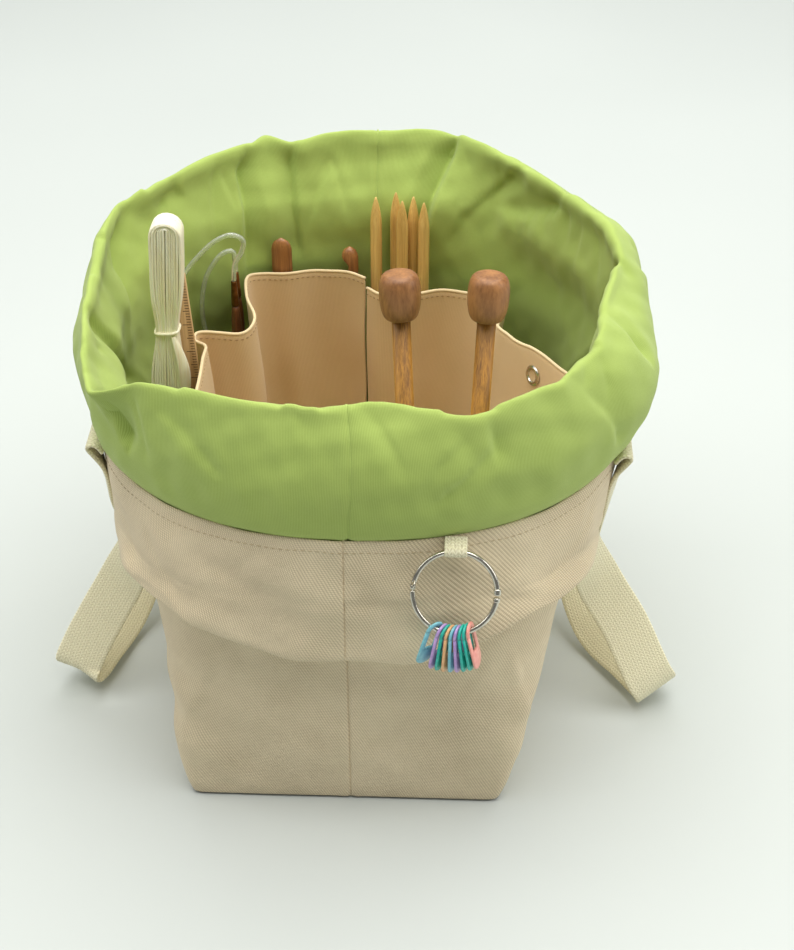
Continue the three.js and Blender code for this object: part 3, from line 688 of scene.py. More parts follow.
BASE_RINGS = ((0.02, 1.5), (0.3, 1.5), (0.6, 1.45), (0.85, 1.3), (0.95, 1.2), (0.985, 1.3), (0.995, 2.2))
BASE_CLOTH = 0.9


def make_base():
    """The canvas and lining bottoms: rounded rectangles, turned up a little at their seams."""
    edge = wall(np.linspace(0, 2 * math.pi, 161), 0, -1.6)
    outer = np.array([edge * (share, share, 0) + (0, 0, height) for share, height in BASE_RINGS])
    inner = outer * (0.93, 0.93, 1) + (0, 0, 2.1)
    return (bag_cloth("canvas_base", outer, CANVAS, "canvas", BASE_CLOTH, outer[..., :2]),
            bag_cloth("lining_base", inner, LINING, "lining", BASE_CLOTH, inner[..., :2]))


canvas_base, lining_base = make_base()


# ---------------------------------------------------------------- lining and its rolled collar

# The collar's highest line, anticlockwise from the front seam: x, y, z and how sharp the bend is.
RIM = np.array([
    (5, -105, 232, 0.2), (20, -101, 232, 0.3), (39, -103, 231, 0.1), (57, -103, 228, 0.5),
    (75, -94, 232, 0.4), (95, -82, 232, 0.8), (112, -51, 235, 0.5), (114, -34, 236, 0.8),
    (121, -12, 238, 0.2), (126.5, 10, 240, 1.0), (124, 22, 243, 0.1), (120, 33, 246, 0.3),
    (106, 61, 246, 0.9), (91, 77, 248, 0.2), (68, 102, 250, 0.8), (50, 123, 250, 1.0),
    (24, 122, 250, 0.2), (9, 118, 250, 0.3), (-9, 120, 250, 0.3), (-22, 116, 249, 0.6),
    (-32, 112, 247.5, 0.2), (-50, 115, 250, 0.9), (-66, 101, 249, 0.1), (-83, 85, 248, 0.4),
    (-98, 68, 247, 0.1), (-114, 47, 245, 0.9), (-118, 8, 240, 0.1), (-118, -27, 235, 0.4),
    (-112, -62, 228, 0.7), (-106, -84, 224, 1.0), (-84, -88, 232, 0.3), (-63, -93, 232, 0.2),
    (-34, -102, 232, 0.2), (-13, -105, 230, 0.2),
], float)
RIM_MIDDLE = np.array((6.0, 5.0, 0.0))
RIM_RADIUS = 114.0


def rim_line(count):
    """The rim as evenly spread points, with its bends rounded by how sharp they are."""
    closed = np.vstack([RIM, RIM[:1]])
    travelled = travelled_along(closed)
    wanted = np.linspace(0, travelled[-1], count, endpoint=False)
    line = np.stack([np.interp(wanted, travelled, closed[:, k]) for k in range(4)], axis=1)
    rounded = [line[:, :3]]
    for _ in range(6):
        last = rounded[-1]
        rounded.append((np.roll(last, 1, 0) + last * 2 + np.roll(last, -1, 0)) / 4)
    share = line[:, 3:]
    return rounded[1] * share + rounded[6] * (1 - share)


# Folds of the collar: points of [angle in degrees, distance in from the rim in mm], width and depth.
# A distance below 0 is on the outside, and a width below 0 puts the steep side on the other hand.
FOLDS = [
    ([(160, 1), (163, 5), (170, 14), (172, 40)], -12, 5.5),
    ([(146, 2), (145, 6), (151, 16)], 13, 4.5),
    ([(122, 1), (126, 14), (127, 34), (127, 60)], -12, 6.0),
    ([(111, 0), (112, 14), (113, 34), (112, 60)], 11, 4.0),
    ([(69, 1), (70, 12), (74, 38), (80, 64)], 14, 7.0),
    ([(48, 2), (56, 22), (64, 40)], -16, 4.5),
    ([(31, 1), (35, 14), (47, 26), (60, 30)], 15, 5.0),
    ([(2, 1), (4, 8), (9, 38), (12, 62), (25, 98)], -14, 8.5),
    ([(-19, -18), (-19, 2), (-8, 10), (2, 26)], 11, 4.5),
    ([(-163, 1), (-164, 4), (-171, 38), (-189, 80)], 14, 5.5),
    ([(-38, -3), (-30, 8), (-22, 20)], 10, 3.5),
    ([(-62, -16), (-62, -4), (-60, 8)], 11, 3.0),
    ([(-139, -26), (-141, -8), (-140, 2), (-146, 14)], 14, 5.0),
    ([(-101, -3), (-100, 10)], 10, 2.5),
    ([(-72, -34), (-64, -18), (-58, -8)], 9, 1.6),
    ([(-118, -30), (-124, -18), (-130, -10)], 10, 1.6),
    ([(-32, -40), (-36, -22), (-40, -8)], 11, 2.4),
    ([(14, -42), (10, -20), (4, -6)], 11, 2.6),
    ([(168, -40), (164, -20), (161, -6)], 11, 2.6),
    ([(118, -36), (121, -16), (122, -4)], 11, 2.4),
    ([(62, -38), (66, -18), (69, -6)], 11, 2.4),
]
COLLAR_CLOTH = 1.0
FOLD_GAIN = 1.25


def small_creases(count=44):
    """Short shallow creases scattered over the collar, the same ones each time."""
    draw = np.random.default_rng(9)
    creases = []
    for _ in range(count):
        where = draw.uniform(-180, 180)
        start = draw.choice([-1, 1, 1]) * draw.uniform(1, 14)
        run = draw.uniform(10, 30)
        slope = draw.uniform(-9, 9)
        line = [(where, start), (where + slope * 0.6, start + run * 0.5 * np.sign(start)),
                (where + slope, start + run * np.sign(start))]
        creases.append((line, draw.choice([-1, 1]) * draw.uniform(5, 9), draw.uniform(0.7, 1.7)))
    return creases


def make_collar_points(count=420, rows=92):
    rim = rim_line(count)
    radial = (rim - RIM_MIDDLE) * (1, 1, 0)
    reach = np.linalg.norm(radial, axis=1)
    angle = np.unwrap(np.arctan2(radial[:, 1], radial[:, 0]))
    outward = unit(radial)
    up = np.array((0.0, 0.0, 1.0))

    def at(z, offset):
        return wall(angle, float(z), float(offset))

    def blended(a, b, share, drop):
        mixed = a * (1 - share) + b * share
        mixed[:, 2] = rim[:, 2] - drop
        return mixed

    # the inner side a hand's breadth under the rim, which never leans out past it
    lower_reach = np.linalg.norm((at(206, -10) - RIM_MIDDLE)[:, :2], axis=1)
    lower = RIM_MIDDLE + outward * np.minimum(lower_reach, reach - 6.0)[:, None]
    lower[:, 2] = rim[:, 2] - 33
    stations = [
        at(166.5, -0.4), at(170.2, 0.7), at(173.5, 3.4), at(181, 6.2), at(194, 8.6), at(207, 9.4),
        blended(at(216, 9.2), rim, 0.34, 14), blended(at(226, 9.0), rim, 0.80, 4.4), rim - up * 1.0,
        rim - outward * 1.4, rim - outward * 3.6 - up * 2.6, rim * 0.66 + lower * 0.34,
        rim * 0.3 + lower * 0.7, lower, at(190, -9), at(170, -6.8), at(150, -6.2), at(120, -6.0),
        at(80, -5.9), at(40, -5.9), at(12, -5.9), at(4, -6.2),
    ]
    stations = np.array(stations)
    dense = np.stack([spline(stations[:, j], rows * 3) for j in range(count)], axis=1)
    # rows close together over the collar and wider down the wall
    close_rows = int(rows * 0.8)
    share = np.concatenate([np.linspace(0, 0.62, close_rows, endpoint=False),
                            np.linspace(0.62, 1, rows - close_rows)])
    return dense[np.round(share * (rows * 3 - 1)).astype(int)], angle, rim


def facing_out(points):
    """For a sheet that rolls over a rim: whether each place is inside the rim, its way out from
    the bag's middle, and the normal that leans that way."""
    crest = np.argmax(points[..., 2], axis=0)
    inside = np.arange(len(points))[:, None] > crest[None]
    middle = (points - RIM_MIDDLE) * (1, 1, 0)
    normals = surface_normals(points)
    return inside, middle, normals * np.sign((normals * middle).sum(axis=2, keepdims=True))


def fold_collar(points, angle, rim):
    """The collar drawn in along its folds, with slack between them."""
    rows, count = points.shape[:2]
    inside, middle, outward = facing_out(points)
    z = points[..., 2]
    drop = rim[None, :, 2] - z
    v = np.where(inside, drop, -drop)
    u = angle[None] * RIM_RADIUS * np.ones((rows, 1))
    move = np.zeros((rows, count))
    for route, width, depth in FOLDS + small_creases():
        for turn in (-360, 0, 360):
            line = [(math.radians(a + turn) * RIM_RADIUS, d) for a, d in route]
            move = np.maximum(move, crease_depth(u, v, line, width) * depth * FOLD_GAIN)
    # less room for folds inside, between the wall and the pockets
    room = 3.0 + 6.5 * np.clip((z - 165) / 32, 0, 1)
    move = np.where(inside, np.minimum(move, room), move)
    soften = np.where(inside, np.clip((z - 100) / 60, 0.15, 1), np.clip((z - 171) / 14, 0, 1))
    slack = wavering(points, 74, 3) * 1.4 + wavering(points, 33, 4) * 0.5 + wavering(points, 15, 5) * 0.4
    slack = np.where(inside & (z < 185), np.clip(slack, -1.5, 1.0), slack)
    # a fold moves partly level and partly square to the cloth, and only down at the crest
    level = np.where(inside[..., None], 1, -1) * unit(middle)
    towards = level * 0.65 + np.where(inside[..., None], outward, -outward) * 0.35
    crestwards = np.clip(1 - np.abs(v) / 12, 0, 1)[..., None] ** 0.7
    towards = towards * (1 - crestwards) + np.array((0.0, 0.0, -0.25)) * crestwards
    return points + towards * (move * soften)[..., None] + outward * (slack * soften)[..., None]


collar_points, collar_angle, rim_points = make_collar_points()
collar_points = fold_collar(collar_points, collar_angle, rim_points)
BACK_SEAM_X = 9
back_column = int(np.argmin(np.abs(rim_points[:, 0] - BACK_SEAM_X) + 1000 * (rim_points[:, 1] < 0)))
ring_of_lining = np.concatenate([collar_points, collar_points[:, :1]], axis=1)


def make_lining(name, points):
    """One half of the lining, with a dip along both of its seams."""
    across = np.cumsum(np.linalg.norm(np.diff(points, axis=1, prepend=points[:, :1]), axis=2), axis=1)
    dip, swell = seam_groove(np.minimum(across, across[:, -1:] - across), 0.7, 3.5)
    inside, _, outward = facing_out(points)
    visible = np.where(inside[..., None], -outward, outward)
    points = points - visible * (dip - 0.25 * swell)[..., None]
    return bag_cloth(name, points, LINING, "lining", COLLAR_CLOTH)


lining_right = make_lining("lining_right", ring_of_lining[:, :back_column + 1])
lining_left = make_lining("lining_left", ring_of_lining[:, back_column:])
seam_welt("seam_lining_front", ring_of_lining, LINING, "lining", 0.5, 0.5)
seam_welt("seam_lining_back", ring_of_lining[:, back_column:], LINING, "lining", 0.5, 0.5)


# ---------------------------------------------------------------- stitches

def stitches(name, line, look, length, gap, radius, sides=6):
    """Small thread bars along a line of points in mm."""
    travelled = travelled_along(line)
    vertices, faces = [], []
    place = 0.5
    while place + length < travelled[-1]:
        stops = np.array([place, place + 0.25 * length, place + 0.75 * length, place + length])
        path = np.stack([np.interp(stops, travelled, line[:, k]) for k in range(3)], axis=1)
        tangent = unit(path[-1] - path[0])
        side = unit(np.cross(tangent, (0.13, 0.21, 0.97)))
        other = np.cross(tangent, side)
        start = len(vertices)
        for centre, size in zip(path, (0.35, 1.0, 1.0, 0.35)):
            for k in range(sides):
                turn = 2 * math.pi * k / sides
                vertices.append(centre + radius * size * (math.cos(turn) * side + math.sin(turn) * other))
        faces += quads(4, sides, True, start)
        place += length + gap
    mesh = bpy.data.meshes.new(name)
    mesh.from_pydata((np.array(vertices) * MM).tolist(), [], faces)
    mesh.uv_layers.new(name="cloth")
    return shown(name, mesh, look)


# ---------------------------------------------------------------- pocket strips

# Where each strip runs, from the back seam to the front seam: x, y.
POCKET_LEFT = [
    (2.5, 80), (-10, 89), (-22, 91.5), (-37, 86), (-50, 85.5), (-57, 81), (-57, 62), (-50, 40),
    (-54, 30), (-66, 27), (-77, 25), (-77, 19), (-71, 13), (-70.5, 0), (-70.5, -30), (-66, -62),
    (-48, -80), (-20, -82), (2.5, -82),
]
POCKET_RIGHT = [
    (3.5, 79), (11, 72), (30, 76), (46, 81), (60, 78), (75, 60), (71, 42), (77, 32), (105, -10),
    (103, -32), (84, -56), (60, -60), (22, -60), (10, -70), (3.5, -82),
]


POCKET_TOP = 185.0
POCKET_FOOT = 22.0
POCKET_CLOTH = 1.3
POCKET_DIP = 5.0
HEM_STITCH_DROP = 3.0
HEM_STITCH_OUT = 0.85


def make_pocket(side, route, foot_share, columns=190, rows=34):
    """A strip of canvas round one half of the bag, with a folded and stitched top hem."""
    line = spline([(x, y, 0) for x, y in route], columns)
    along = np.linspace(0, 1, columns)
    top = POCKET_TOP + 1.1 * np.sin(along * 23 + (0.8 if side > 0 else 2.2)) + 0.5 * np.sin(along * 61)
    if side > 0:
        top = top - POCKET_DIP * np.clip((0.42 - along) / 0.1, 0, 1)
    z = POCKET_FOOT + (top[None] - POCKET_FOOT) * np.linspace(0, 1, rows)[:, None]
    scale = foot_share + (1 - foot_share) * (z - POCKET_FOOT) / (POCKET_TOP - POCKET_FOOT)
    x = SEAM_X + (line[None, :, 0] - SEAM_X) * scale
    points = np.stack([x, np.broadcast_to(line[None, :, 1], x.shape), z], axis=2)
    points[..., :2] += (wavering(points, 42, 21 + side) * 0.5)[..., None] * np.array((0.6, 0.8))
    name = "pocket_strip_right" if side > 0 else "pocket_strip_left"
    strip = bag_cloth(name, points, POCKET, "pocket_canvas", POCKET_CLOTH)
    edge = points[-1]
    # the level direction out of the strip's face that can be seen
    out = unit(np.cross(unit(np.gradient(edge, axis=0)), (0.0, 0.0, 1.0))) * side
    seam = edge - (0, 0, HEM_STITCH_DROP) + out * HEM_STITCH_OUT
    threads = stitches("hem_stitches_" + name, seam, SEAM_THREAD, length=1.6, gap=1.3, radius=0.2)
    hem = tube("hem_" + name, edge + (0, 0, 0.1), 0.8, HEM, sides=10)
    for piece in (threads, hem):
        on_body(piece, "bag", "pocket_canvas")
    return strip


pocket_right = make_pocket(1, POCKET_RIGHT, 0.66)
pocket_left = make_pocket(-1, POCKET_LEFT, 0.82)


TOP_STITCH_HEIGHT = 166.0


def top_stitches(name, points):
    """A row of stitches 4 mm under the canvas edge, all round one half of the bag."""
    hem_rows = points[-12:]
    row = hem_rows[np.argmin(np.abs(hem_rows[:, 40, 2] - TOP_STITCH_HEIGHT))]
    outward = unit((row - (6, 3, 0)) * (1, 1, 0))
    threads = stitches(name, row + outward * 0.62, THREAD, length=2.0, gap=1.2, radius=0.24)
    on_body(threads, "bag", "canvas")


top_stitches("stitches_canvas_right", canvas_right_points)
top_stitches("stitches_canvas_left", canvas_left_points)
seam_welt("seam_canvas_front", canvas_right_points, CANVAS, "canvas", 0.75, 0.55)
seam_welt("seam_canvas_back", canvas_right_points[:, ::-1], CANVAS, "canvas", 0.75, -0.55)


# ---------------------------------------------------------------- straps

STRAP_WIDTH = 25.0
STRAP_THICK = 2.0
STRAP_RIB_DEPTH = 0.05
STRAP_RIB_PITCH = 2.6
STRAP_POINTS = 300
WALL_TURN = 0.9
ROOT_Z = 172.5
ROOT_X = {1: 130.2, -1: -118.0}


def on_wall(y, z, offset, side):
    """A strap station on the wall: the place, and the direction of the strap's width."""
    cx, cy, a, b, n = (float(value) for value in outline_at(z))
    reach = (1 - (abs(y - cy) / (b + offset)) ** n) ** (1 / n)
    turn = side * (y - cy) / (b + offset)
    return (cx + side * (a + offset) * reach, y, z, -WALL_TURN * turn, 1, 0)


def root(y, side):
    """The three stations where a strap comes up out of the seam and turns over the canvas edge."""
    seam = on_wall(y, 168.6, 0.6, side)
    over = on_wall(y, 173.0, 3.4, side)
    return [seam[:3] + (0, 1, 0), over[:2] + (172.6, 0, 1, 0), (ROOT_X[side], y, ROOT_Z - 0.6, 0, 1, 0)]


def strap_stations(side, free):
    """A strap's whole line: up from one root, down the wall, its free part, and back the same way."""
    return (root(-41, side) + [on_wall(-40, 158, 6, side), on_wall(-35, 135, 10.5, side)] + free
            + [on_wall(42, 135, 10.5, side), on_wall(41, 158, 6, side)] + root(41, side)[::-1])


# The free part of each strap: x, y, z and the direction of the strap's width.
STRAPS = {
    1: strap_stations(1, [
        (119.5, -25, 108, 0.05, 1, 0.2), (119.5, -13, 82, 0.45, 0.75, 0.45), (127, -12, 62, 0.7, 0.4, 0.5),
        (140, -22, 44, 0.8, 0.35, 0.47), (148.5, -32, 29.5, 0.8, 0.38, 0.47),
        (153.8, -37.5, 20.7, 0.8, 0.38, 0.47), (157, -38.1, 15.6, 0.8, 0.38, 0.47),
        (158.2, -34.6, 10.7, 0.8, 0.38, 0.47), (156.2, -28, 9.2, 0.8, 0.39, 0.48),
        (146, -13, 10.5, 0.74, 0.42, 0.54), (130, 9, 13, 0.6, 0.4, 0.65), (121, 32, 30, 0.4, 0.7, 0.5),
        (117.5, 42, 68, 0.1, 1, 0.1), (116.5, 43, 103, 0, 1, 0),
    ]),
    -1: strap_stations(-1, [
        (-109, -24, 104, -0.15, 1, 0.2), (-113, -12, 76, -0.5, 0.7, 0.4), (-121, -12, 57, -0.8, 0.35, 0.35),
        (-131, -20, 41, -0.88, 0.25, 0.35), (-140, -29, 26, -0.88, 0.22, 0.35),
        (-144.5, -34, 15.5, -0.88, 0.2, 0.38), (-142, -29, 11, -0.82, 0.25, 0.45),
        (-136, -12, 11, -0.75, 0.3, 0.55), (-128, 12, 12, -0.65, 0.4, 0.6), (-120, 33, 28, -0.4, 0.7, 0.5),
        (-113, 42, 66, -0.1, 1, 0.1), (-110.5, 43, 103, 0, 1, 0),
    ]),
}


def tape(name, line, outline):
    """Cotton tape along a line of [place, direction of its width], with the same outline all along."""
    middle = line[:, :3]
    tangents = unit(np.gradient(middle, axis=0))
    across = unit(line[:, 3:] - tangents * (line[:, 3:] * tangents).sum(axis=1, keepdims=True))
    normals = np.cross(tangents, across)
    u, v = outline[None, :, :1], outline[None, :, 1:]
    points = middle[:, None] + across[:, None] * u + normals[:, None] * v
    around = np.append(outline[:, 0], outline[0, 0])
    layer = np.stack(np.broadcast_arrays(around[None], travelled_along(middle)[:, None]), axis=2)
    return grid_piece(name, points, WEBBING, layer, closed=True)


def make_strap(side):
    """A strap with rounded edges and lengthwise ribs, which bends at its two roots."""
    half = STRAP_WIDTH / 2
    flat = np.linspace(-half + 0.8, half - 0.8, 26)
    edge = [(half - 0.15, 0.55), (half, 0), (half - 0.15, -0.55)]
    one_side = [(u, STRAP_THICK / 2) for u in flat] + edge
    outline = np.array(one_side + [(-u, -v) for u, v in one_side])
    ribs = STRAP_RIB_DEPTH * np.cos(outline[:, 0] * 2 * math.pi / STRAP_RIB_PITCH)
    outline[:, 1] += np.sign(outline[:, 1]) * ribs
    name = "handle_right" if side > 0 else "handle_left"
    strap = tape("strap_" + name, spline(STRAPS[side], STRAP_POINTS), outline)
    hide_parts(name)
    bake_modifiers(strap)
    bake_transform(strap)


def bake_modifiers(piece):
    """The piece's modifiers become its mesh."""
    bpy.context.view_layer.update()
    graph = bpy.context.evaluated_depsgraph_get()
    mesh = bpy.data.meshes.new_from_object(piece.evaluated_get(graph))
    piece.modifiers.clear()
    piece.data = mesh


make_strap(1)
make_strap(-1)


# ---------------------------------------------------------------- marker ring and its tab

RING_MIDDLE = np.array((51.0, -123.0, 150.5))
RING_LEAN = math.radians(25)
RING_RADIUS = 18.1
RING_WIRE = 1.2
RING_X = np.array((1.0, 0.0, 0.0))
RING_Y = np.array((0.0, math.sin(RING_LEAN), math.cos(RING_LEAN)))
RING_Z = np.cross(RING_X, RING_Y)
HINGE_TURN = 172.0
CLASP_TURN = -4.0


def on_ring(degrees, rise=0.0):
    turn = math.radians(degrees)
    out = RING_X * math.cos(turn) + RING_Y * math.sin(turn)
    return RING_MIDDLE + RING_RADIUS * out + RING_Z * rise


def ring_part(name, start, end, radii, rise=0.0, **shape):
    """Wire, tongue or sleeve round the ring from one turn to another, in degrees."""
    path = [on_ring(degrees, rise) for degrees in np.linspace(start, end, len(radii))]
    return tube(name, path, radii, NICKEL, sides=18, **shape)


ARC = [RING_WIRE] * 90
TONGUE = [1.2, 1.35, 1.6, 1.9, 2.1, 2.2, 2.25, 2.25, 2.2, 2.1, 1.9, 1.6, 1.1, 0.5]
TONGUE_RISE = 0.75
SLEEVE = [0.9, 1.5] + [1.62] * 7 + [1.6, 1.5, 1.0]
LIP = [0.9, 1.45, 1.55, 1.55, 1.5, 1.5, 1.55, 1.55, 1.45, 0.9]
RIVET_HALF = 2.1
RIVET = [(0, 0.05), (0, 0.8), (0.25, 1.15), (0.6, 1.2), (0.62, 0.7), (3.58, 0.7), (3.6, 1.2), (3.95, 1.15),
         (4.2, 0.8), (4.2, 0.05)]


def make_ring():
    """Two halves on one rivet: flattened tongues at the hinge, a short sleeve and a lip at the catch."""
    hinge_foot, hinge_top = on_ring(HINGE_TURN, -RIVET_HALF), on_ring(HINGE_TURN, RIVET_HALF)
    upper = ring_part("ring_arc_upper", CLASP_TURN + 2.5, HINGE_TURN - 6, ARC)
    lower = ring_part("ring_arc_lower", HINGE_TURN + 6, 360 + CLASP_TURN - 2.5, ARC)
    tongue_up, tongue_down = (
        ring_part("ring_tongue_" + name, HINGE_TURN - way * 9, HINGE_TURN + way * 3, TONGUE,
                  way * TONGUE_RISE, squash=0.3, wide=RING_Y)
        for name, way in (("upper", 1), ("lower", -1)))
    rivet = turned("ring_rivet", hinge_foot, hinge_top, RIVET, NICKEL, sides=24)
    sleeve = ring_part("ring_catch_sleeve", CLASP_TURN + 1.2, CLASP_TURN + 11, SLEEVE)
    lip = ring_part("ring_catch_lip", CLASP_TURN - 8.5, CLASP_TURN - 1.4, LIP)
    on_body(joined("ring_upper", [upper, tongue_up, sleeve]), "ring", "nickel", "ring_upper_half")
    on_body(rivet, "ring", "nickel", "ring_hinge_rivet")
    on_body(joined("ring_lower", [lower, tongue_down, lip]), "ring_gate", "nickel", "ring_lower_half")


make_ring()


TAB_WIDTH = 10.0
TAB_HALF_THICK = 0.45
TAB_WRAP = 2.05


def make_tab():
    """A short tape that wraps the ring's top and is sewn into the seam."""
    x, y, z = on_ring(90)
    sewn_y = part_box("ring_tab")[1][1] / MM - 0.4
    wrap = [(x, y + TAB_WRAP * math.cos(t), z + TAB_WRAP * math.sin(t))
            for t in np.radians(np.linspace(62, 298, 16))]
    stations = [(x, sewn_y, z + 4.2), (x, y + 3.6, z + 3.0), (x, y + 1.0, z + 2.3)] + wrap
    stations += [(x, y + 3.0, z - 2.0), (x, sewn_y, z + 0.4)]
    half = TAB_WIDTH / 2
    flat = np.linspace(-half + 0.4, half - 0.4, 14)
    one_side = [(u, TAB_HALF_THICK) for u in flat] + [(half, 0)]
    outline = np.array(one_side + [(-u, -v) for u, v in one_side])
    tab = tape("tab_tape", spline([(*p, 1, 0, 0) for p in stations], 70), outline)
    on_body(tab, "bag", "webbing", "ring_tab")


make_tab()


# ---------------------------------------------------------------- stitch markers

MARKER_COLOURS = ["blue", "lilac", "teal", "orange", "blue", "lilac", "teal", "teal", "pink"]
MARKER_FIRST = -22.5
MARKER_PITCH = 5.6
MARKER_HALF = 3.4
MARKER_TOP = -2.5
MARKER_FOOT = 20.5
MARKER_WIRE = 0.72
HEAD_HALF = 4.1
HEAD_THICK = 1.15
MARKER_TWIST = math.radians(26)
# the first hangs a little apart and turned further
FIRST_GAP = 4.6
FIRST_TWIST = math.radians(40)


def make_marker(number, colour):
    """A thin locking loop hung on the ring wire, with a flat rounded head at its lower end."""
    degrees = MARKER_FIRST + (number - 1) * MARKER_PITCH - (FIRST_GAP if number == 1 else 0)
    twist = FIRST_TWIST if number == 1 else MARKER_TWIST
    turn = math.radians(degrees)
    wire = on_ring(degrees - 90)
    along = RING_X * math.cos(turn) + RING_Y * math.sin(turn)
    down = np.array((0.0, 0.0, -1.0))
    down = unit(down - 0.6 * along * float(down @ along))
    along = unit(along - down * float(along @ down))
    face = along * math.cos(twist) + np.cross(down, along) * math.sin(twist)
    across = np.cross(down, face)
    path = [(MARKER_HALF * math.cos(t), MARKER_TOP + MARKER_HALF * (1 - math.sin(t)))
            for t in np.linspace(0, math.pi, 15)]
    path += [(MARKER_HALF * math.cos(t), MARKER_FOOT - MARKER_HALF * (1 + math.sin(t)))
             for t in np.linspace(math.pi, 2 * math.pi, 15)]
    points = [wire + across * a + down * d for a, d in path + path[:1]]
    look = MARKER[colour]
    loop = tube(f"marker_loop_{number}", points, MARKER_WIRE, look, sides=14, squash=1.75, wide=face)
    head_rows = []
    for t in np.linspace(-math.pi / 2, math.pi / 2, 13):
        share = math.copysign(abs(math.sin(t)) ** 0.8, math.sin(t))
        spread = math.cos(t) ** 0.7
        middle = wire + down * (MARKER_FOOT - 4.0 + 5.0 * share)
        head_rows.append([middle + across * HEAD_HALF * spread * math.cos(k)
                          + face * HEAD_THICK * spread * math.sin(k)
                          for k in np.linspace(0, 2 * math.pi, 24, endpoint=False)])
    head = lofted(f"marker_head_{number}", head_rows, look)
    marker = joined(f"locking_marker_{number}", [loop, head])
    on_body(marker, f"stitch_marker_{number}", "marker_" + colour, f"stitch_marker_{number}")


for marker_number, marker_colour in enumerate(MARKER_COLOURS, 1):
    make_marker(marker_number, marker_colour)


# ---------------------------------------------------------------- eyelet

EYELET_MIDDLE = np.array((88.3, 14.0, 172.0))
EYELET_NORMAL = unit(np.array((-0.832, -0.554, 0.151)))
EYELET = [(-0.2, 3.0), (-0.2, 4.6), (0.1, 5.0), (0.4, 4.9), (0.4, 3.6), (1.9, 3.6), (1.9, 4.9), (2.1, 5.2),
          (2.6, 5.0), (3.0, 4.2), (3.1, 3.6), (2.8, 3.05), (2.0, 2.9), (0.5, 2.9), (-0.2, 3.0)]
grommet = turned("eyelet_grommet", EYELET_MIDDLE - EYELET_NORMAL * 1.2, EYELET_MIDDLE + EYELET_NORMAL * 2.0,
                 EYELET, NICKEL, sides=40)
on_body(grommet, "bag", "nickel", "eyelet_front", "eyelet_washer")


# ---------------------------------------------------------------- needles and hooks

BLUNT = 0.4


def rod_profile(length, radius, first, last, steps=14):
    """A knitting needle with a rounded point as long as first and last say; 0 leaves an end flat."""
    def point(size, t):
        return BLUNT * 0.5 + t * size, BLUNT + (radius - BLUNT) * math.sin(t * math.pi / 2) ** 0.85

    rise = [point(first, t) for t in np.linspace(0, 1, steps)] if first else [(0, radius)]
    fall = [point(last, t) for t in np.linspace(1, 0, steps)] if last else [(0, radius)]
    return [(0, 0.02)] + rise + [(length - h, r) for h, r in fall] + [(length, 0.02)]


DPN_LENGTH = 200
DPN_RADIUS = 3.0
DPN_FEET = [(8, 93, 26), (18, 98.5, 26), (21.5, 91, 25), (27, 98, 24), (32.5, 91.5, 24)]
for number, foot in enumerate(DPN_FEET, 1):
    name = f"double_pointed_needle_{number}"
    rod = turned("rod_" + name, foot, np.add(foot, (0, 0, DPN_LENGTH)),
                 rod_profile(DPN_LENGTH, DPN_RADIUS, 16, 16), BAMBOO, 24)
    on_body(rod, name, "bamboo", name)

STRAIGHT = [((36, -88, 24), (25, -62, 271)), ((54, -88, 24), (62.5, -62, 271))]
STRAIGHT_RADIUS = 4.0
KNOB_LENGTH = 20
KNOB_COVER = 17
KNOB_PROFILE = [
    (0, 0.1), (0, 5.8), (0.4, 6.7), (1.4, 7.4), (3.5, 8.1), (6.5, 8.6), (9.5, 8.8), (12.5, 8.8), (15, 8.6),
    (17, 8.2), (18.4, 7.6), (19.3, 6.8), (19.8, 5.8), (20, 4.2), (20, 0.1)]
for number, (tip, top) in enumerate(STRAIGHT, 1):
    name = f"straight_needle_{number}"
    tip, top = np.array(tip, float), np.array(top, float)
    axis = unit(top - tip)
    length = float(np.linalg.norm(top - tip)) - KNOB_COVER
    rod = turned("rod_" + name, tip, top - axis * KNOB_COVER,
                 rod_profile(length, STRAIGHT_RADIUS, 20, 0), SHAFT, 24)
    on_body(rod, name, "bamboo", name)
    knob = turned(f"turned_knob_{number}", top - axis * KNOB_LENGTH, top, KNOB_PROFILE, KNOB, 40)
    on_body(knob, name, "knob_wood", f"needle_knob_{number}")


HOOK_RADIUS = 3.5
HOOK_POINTS = 90


def rounded_end(distance, length, least):
    """A rod's radius near its end, as a share of its own."""
    return np.sqrt(np.clip(1 - (np.clip(length - distance, 0, None) / length) ** 2, least, 1))


def make_hook(number, x, y, foot, top):
    """A crochet hook standing in its pocket: number 1 shows its flat grip, number 2 its hook."""
    heights = np.linspace(foot, top, HOOK_POINTS)
    path = np.stack([np.full(HOOK_POINTS, float(x)), np.full(HOOK_POINTS, float(y)), heights], axis=1)
    radii = HOOK_RADIUS * rounded_end(top - heights, 7, 0.01) * rounded_end(heights - foot, 5, 0.02)
    hook = tube(f"turned_hook_{number}", path, radii, HOOK, sides=28)
    co = np.array([v.co for v in hook.data.vertices], float) / MM
    drop = top - co[:, 2]
    from_x = co[:, 0] - x
    if number == 1:
        flat = np.clip((46 - drop) / 10, 0, 1)
        co[:, 1] = y + (co[:, 1] - y) * (1 - 0.35 * flat)
        from_x = from_x * (1 + 0.52 * flat)
    else:
        from_x = from_x * (1 + 0.28 * np.clip((24 - drop) / 8, 0, 1))
        throat = np.exp(-((drop - 11.5) / 3.2) ** 2) + np.exp(-((drop - 17) / 6.0) ** 2) * 0.45
        from_x = from_x * (1 - 0.85 * np.clip(throat * (from_x < 0), 0, 1))
    co[:, 0] = x + from_x
    hook.data.vertices.foreach_set("co", (co * MM).ravel())
    hook.data.update()
    on_body(hook, f"crochet_hook_{number}", "hook_wood", f"crochet_hook_{number}")


make_hook(1, -41, 90.6, 25, 203)
make_hook(2, -6, 95.5, 25, 196)

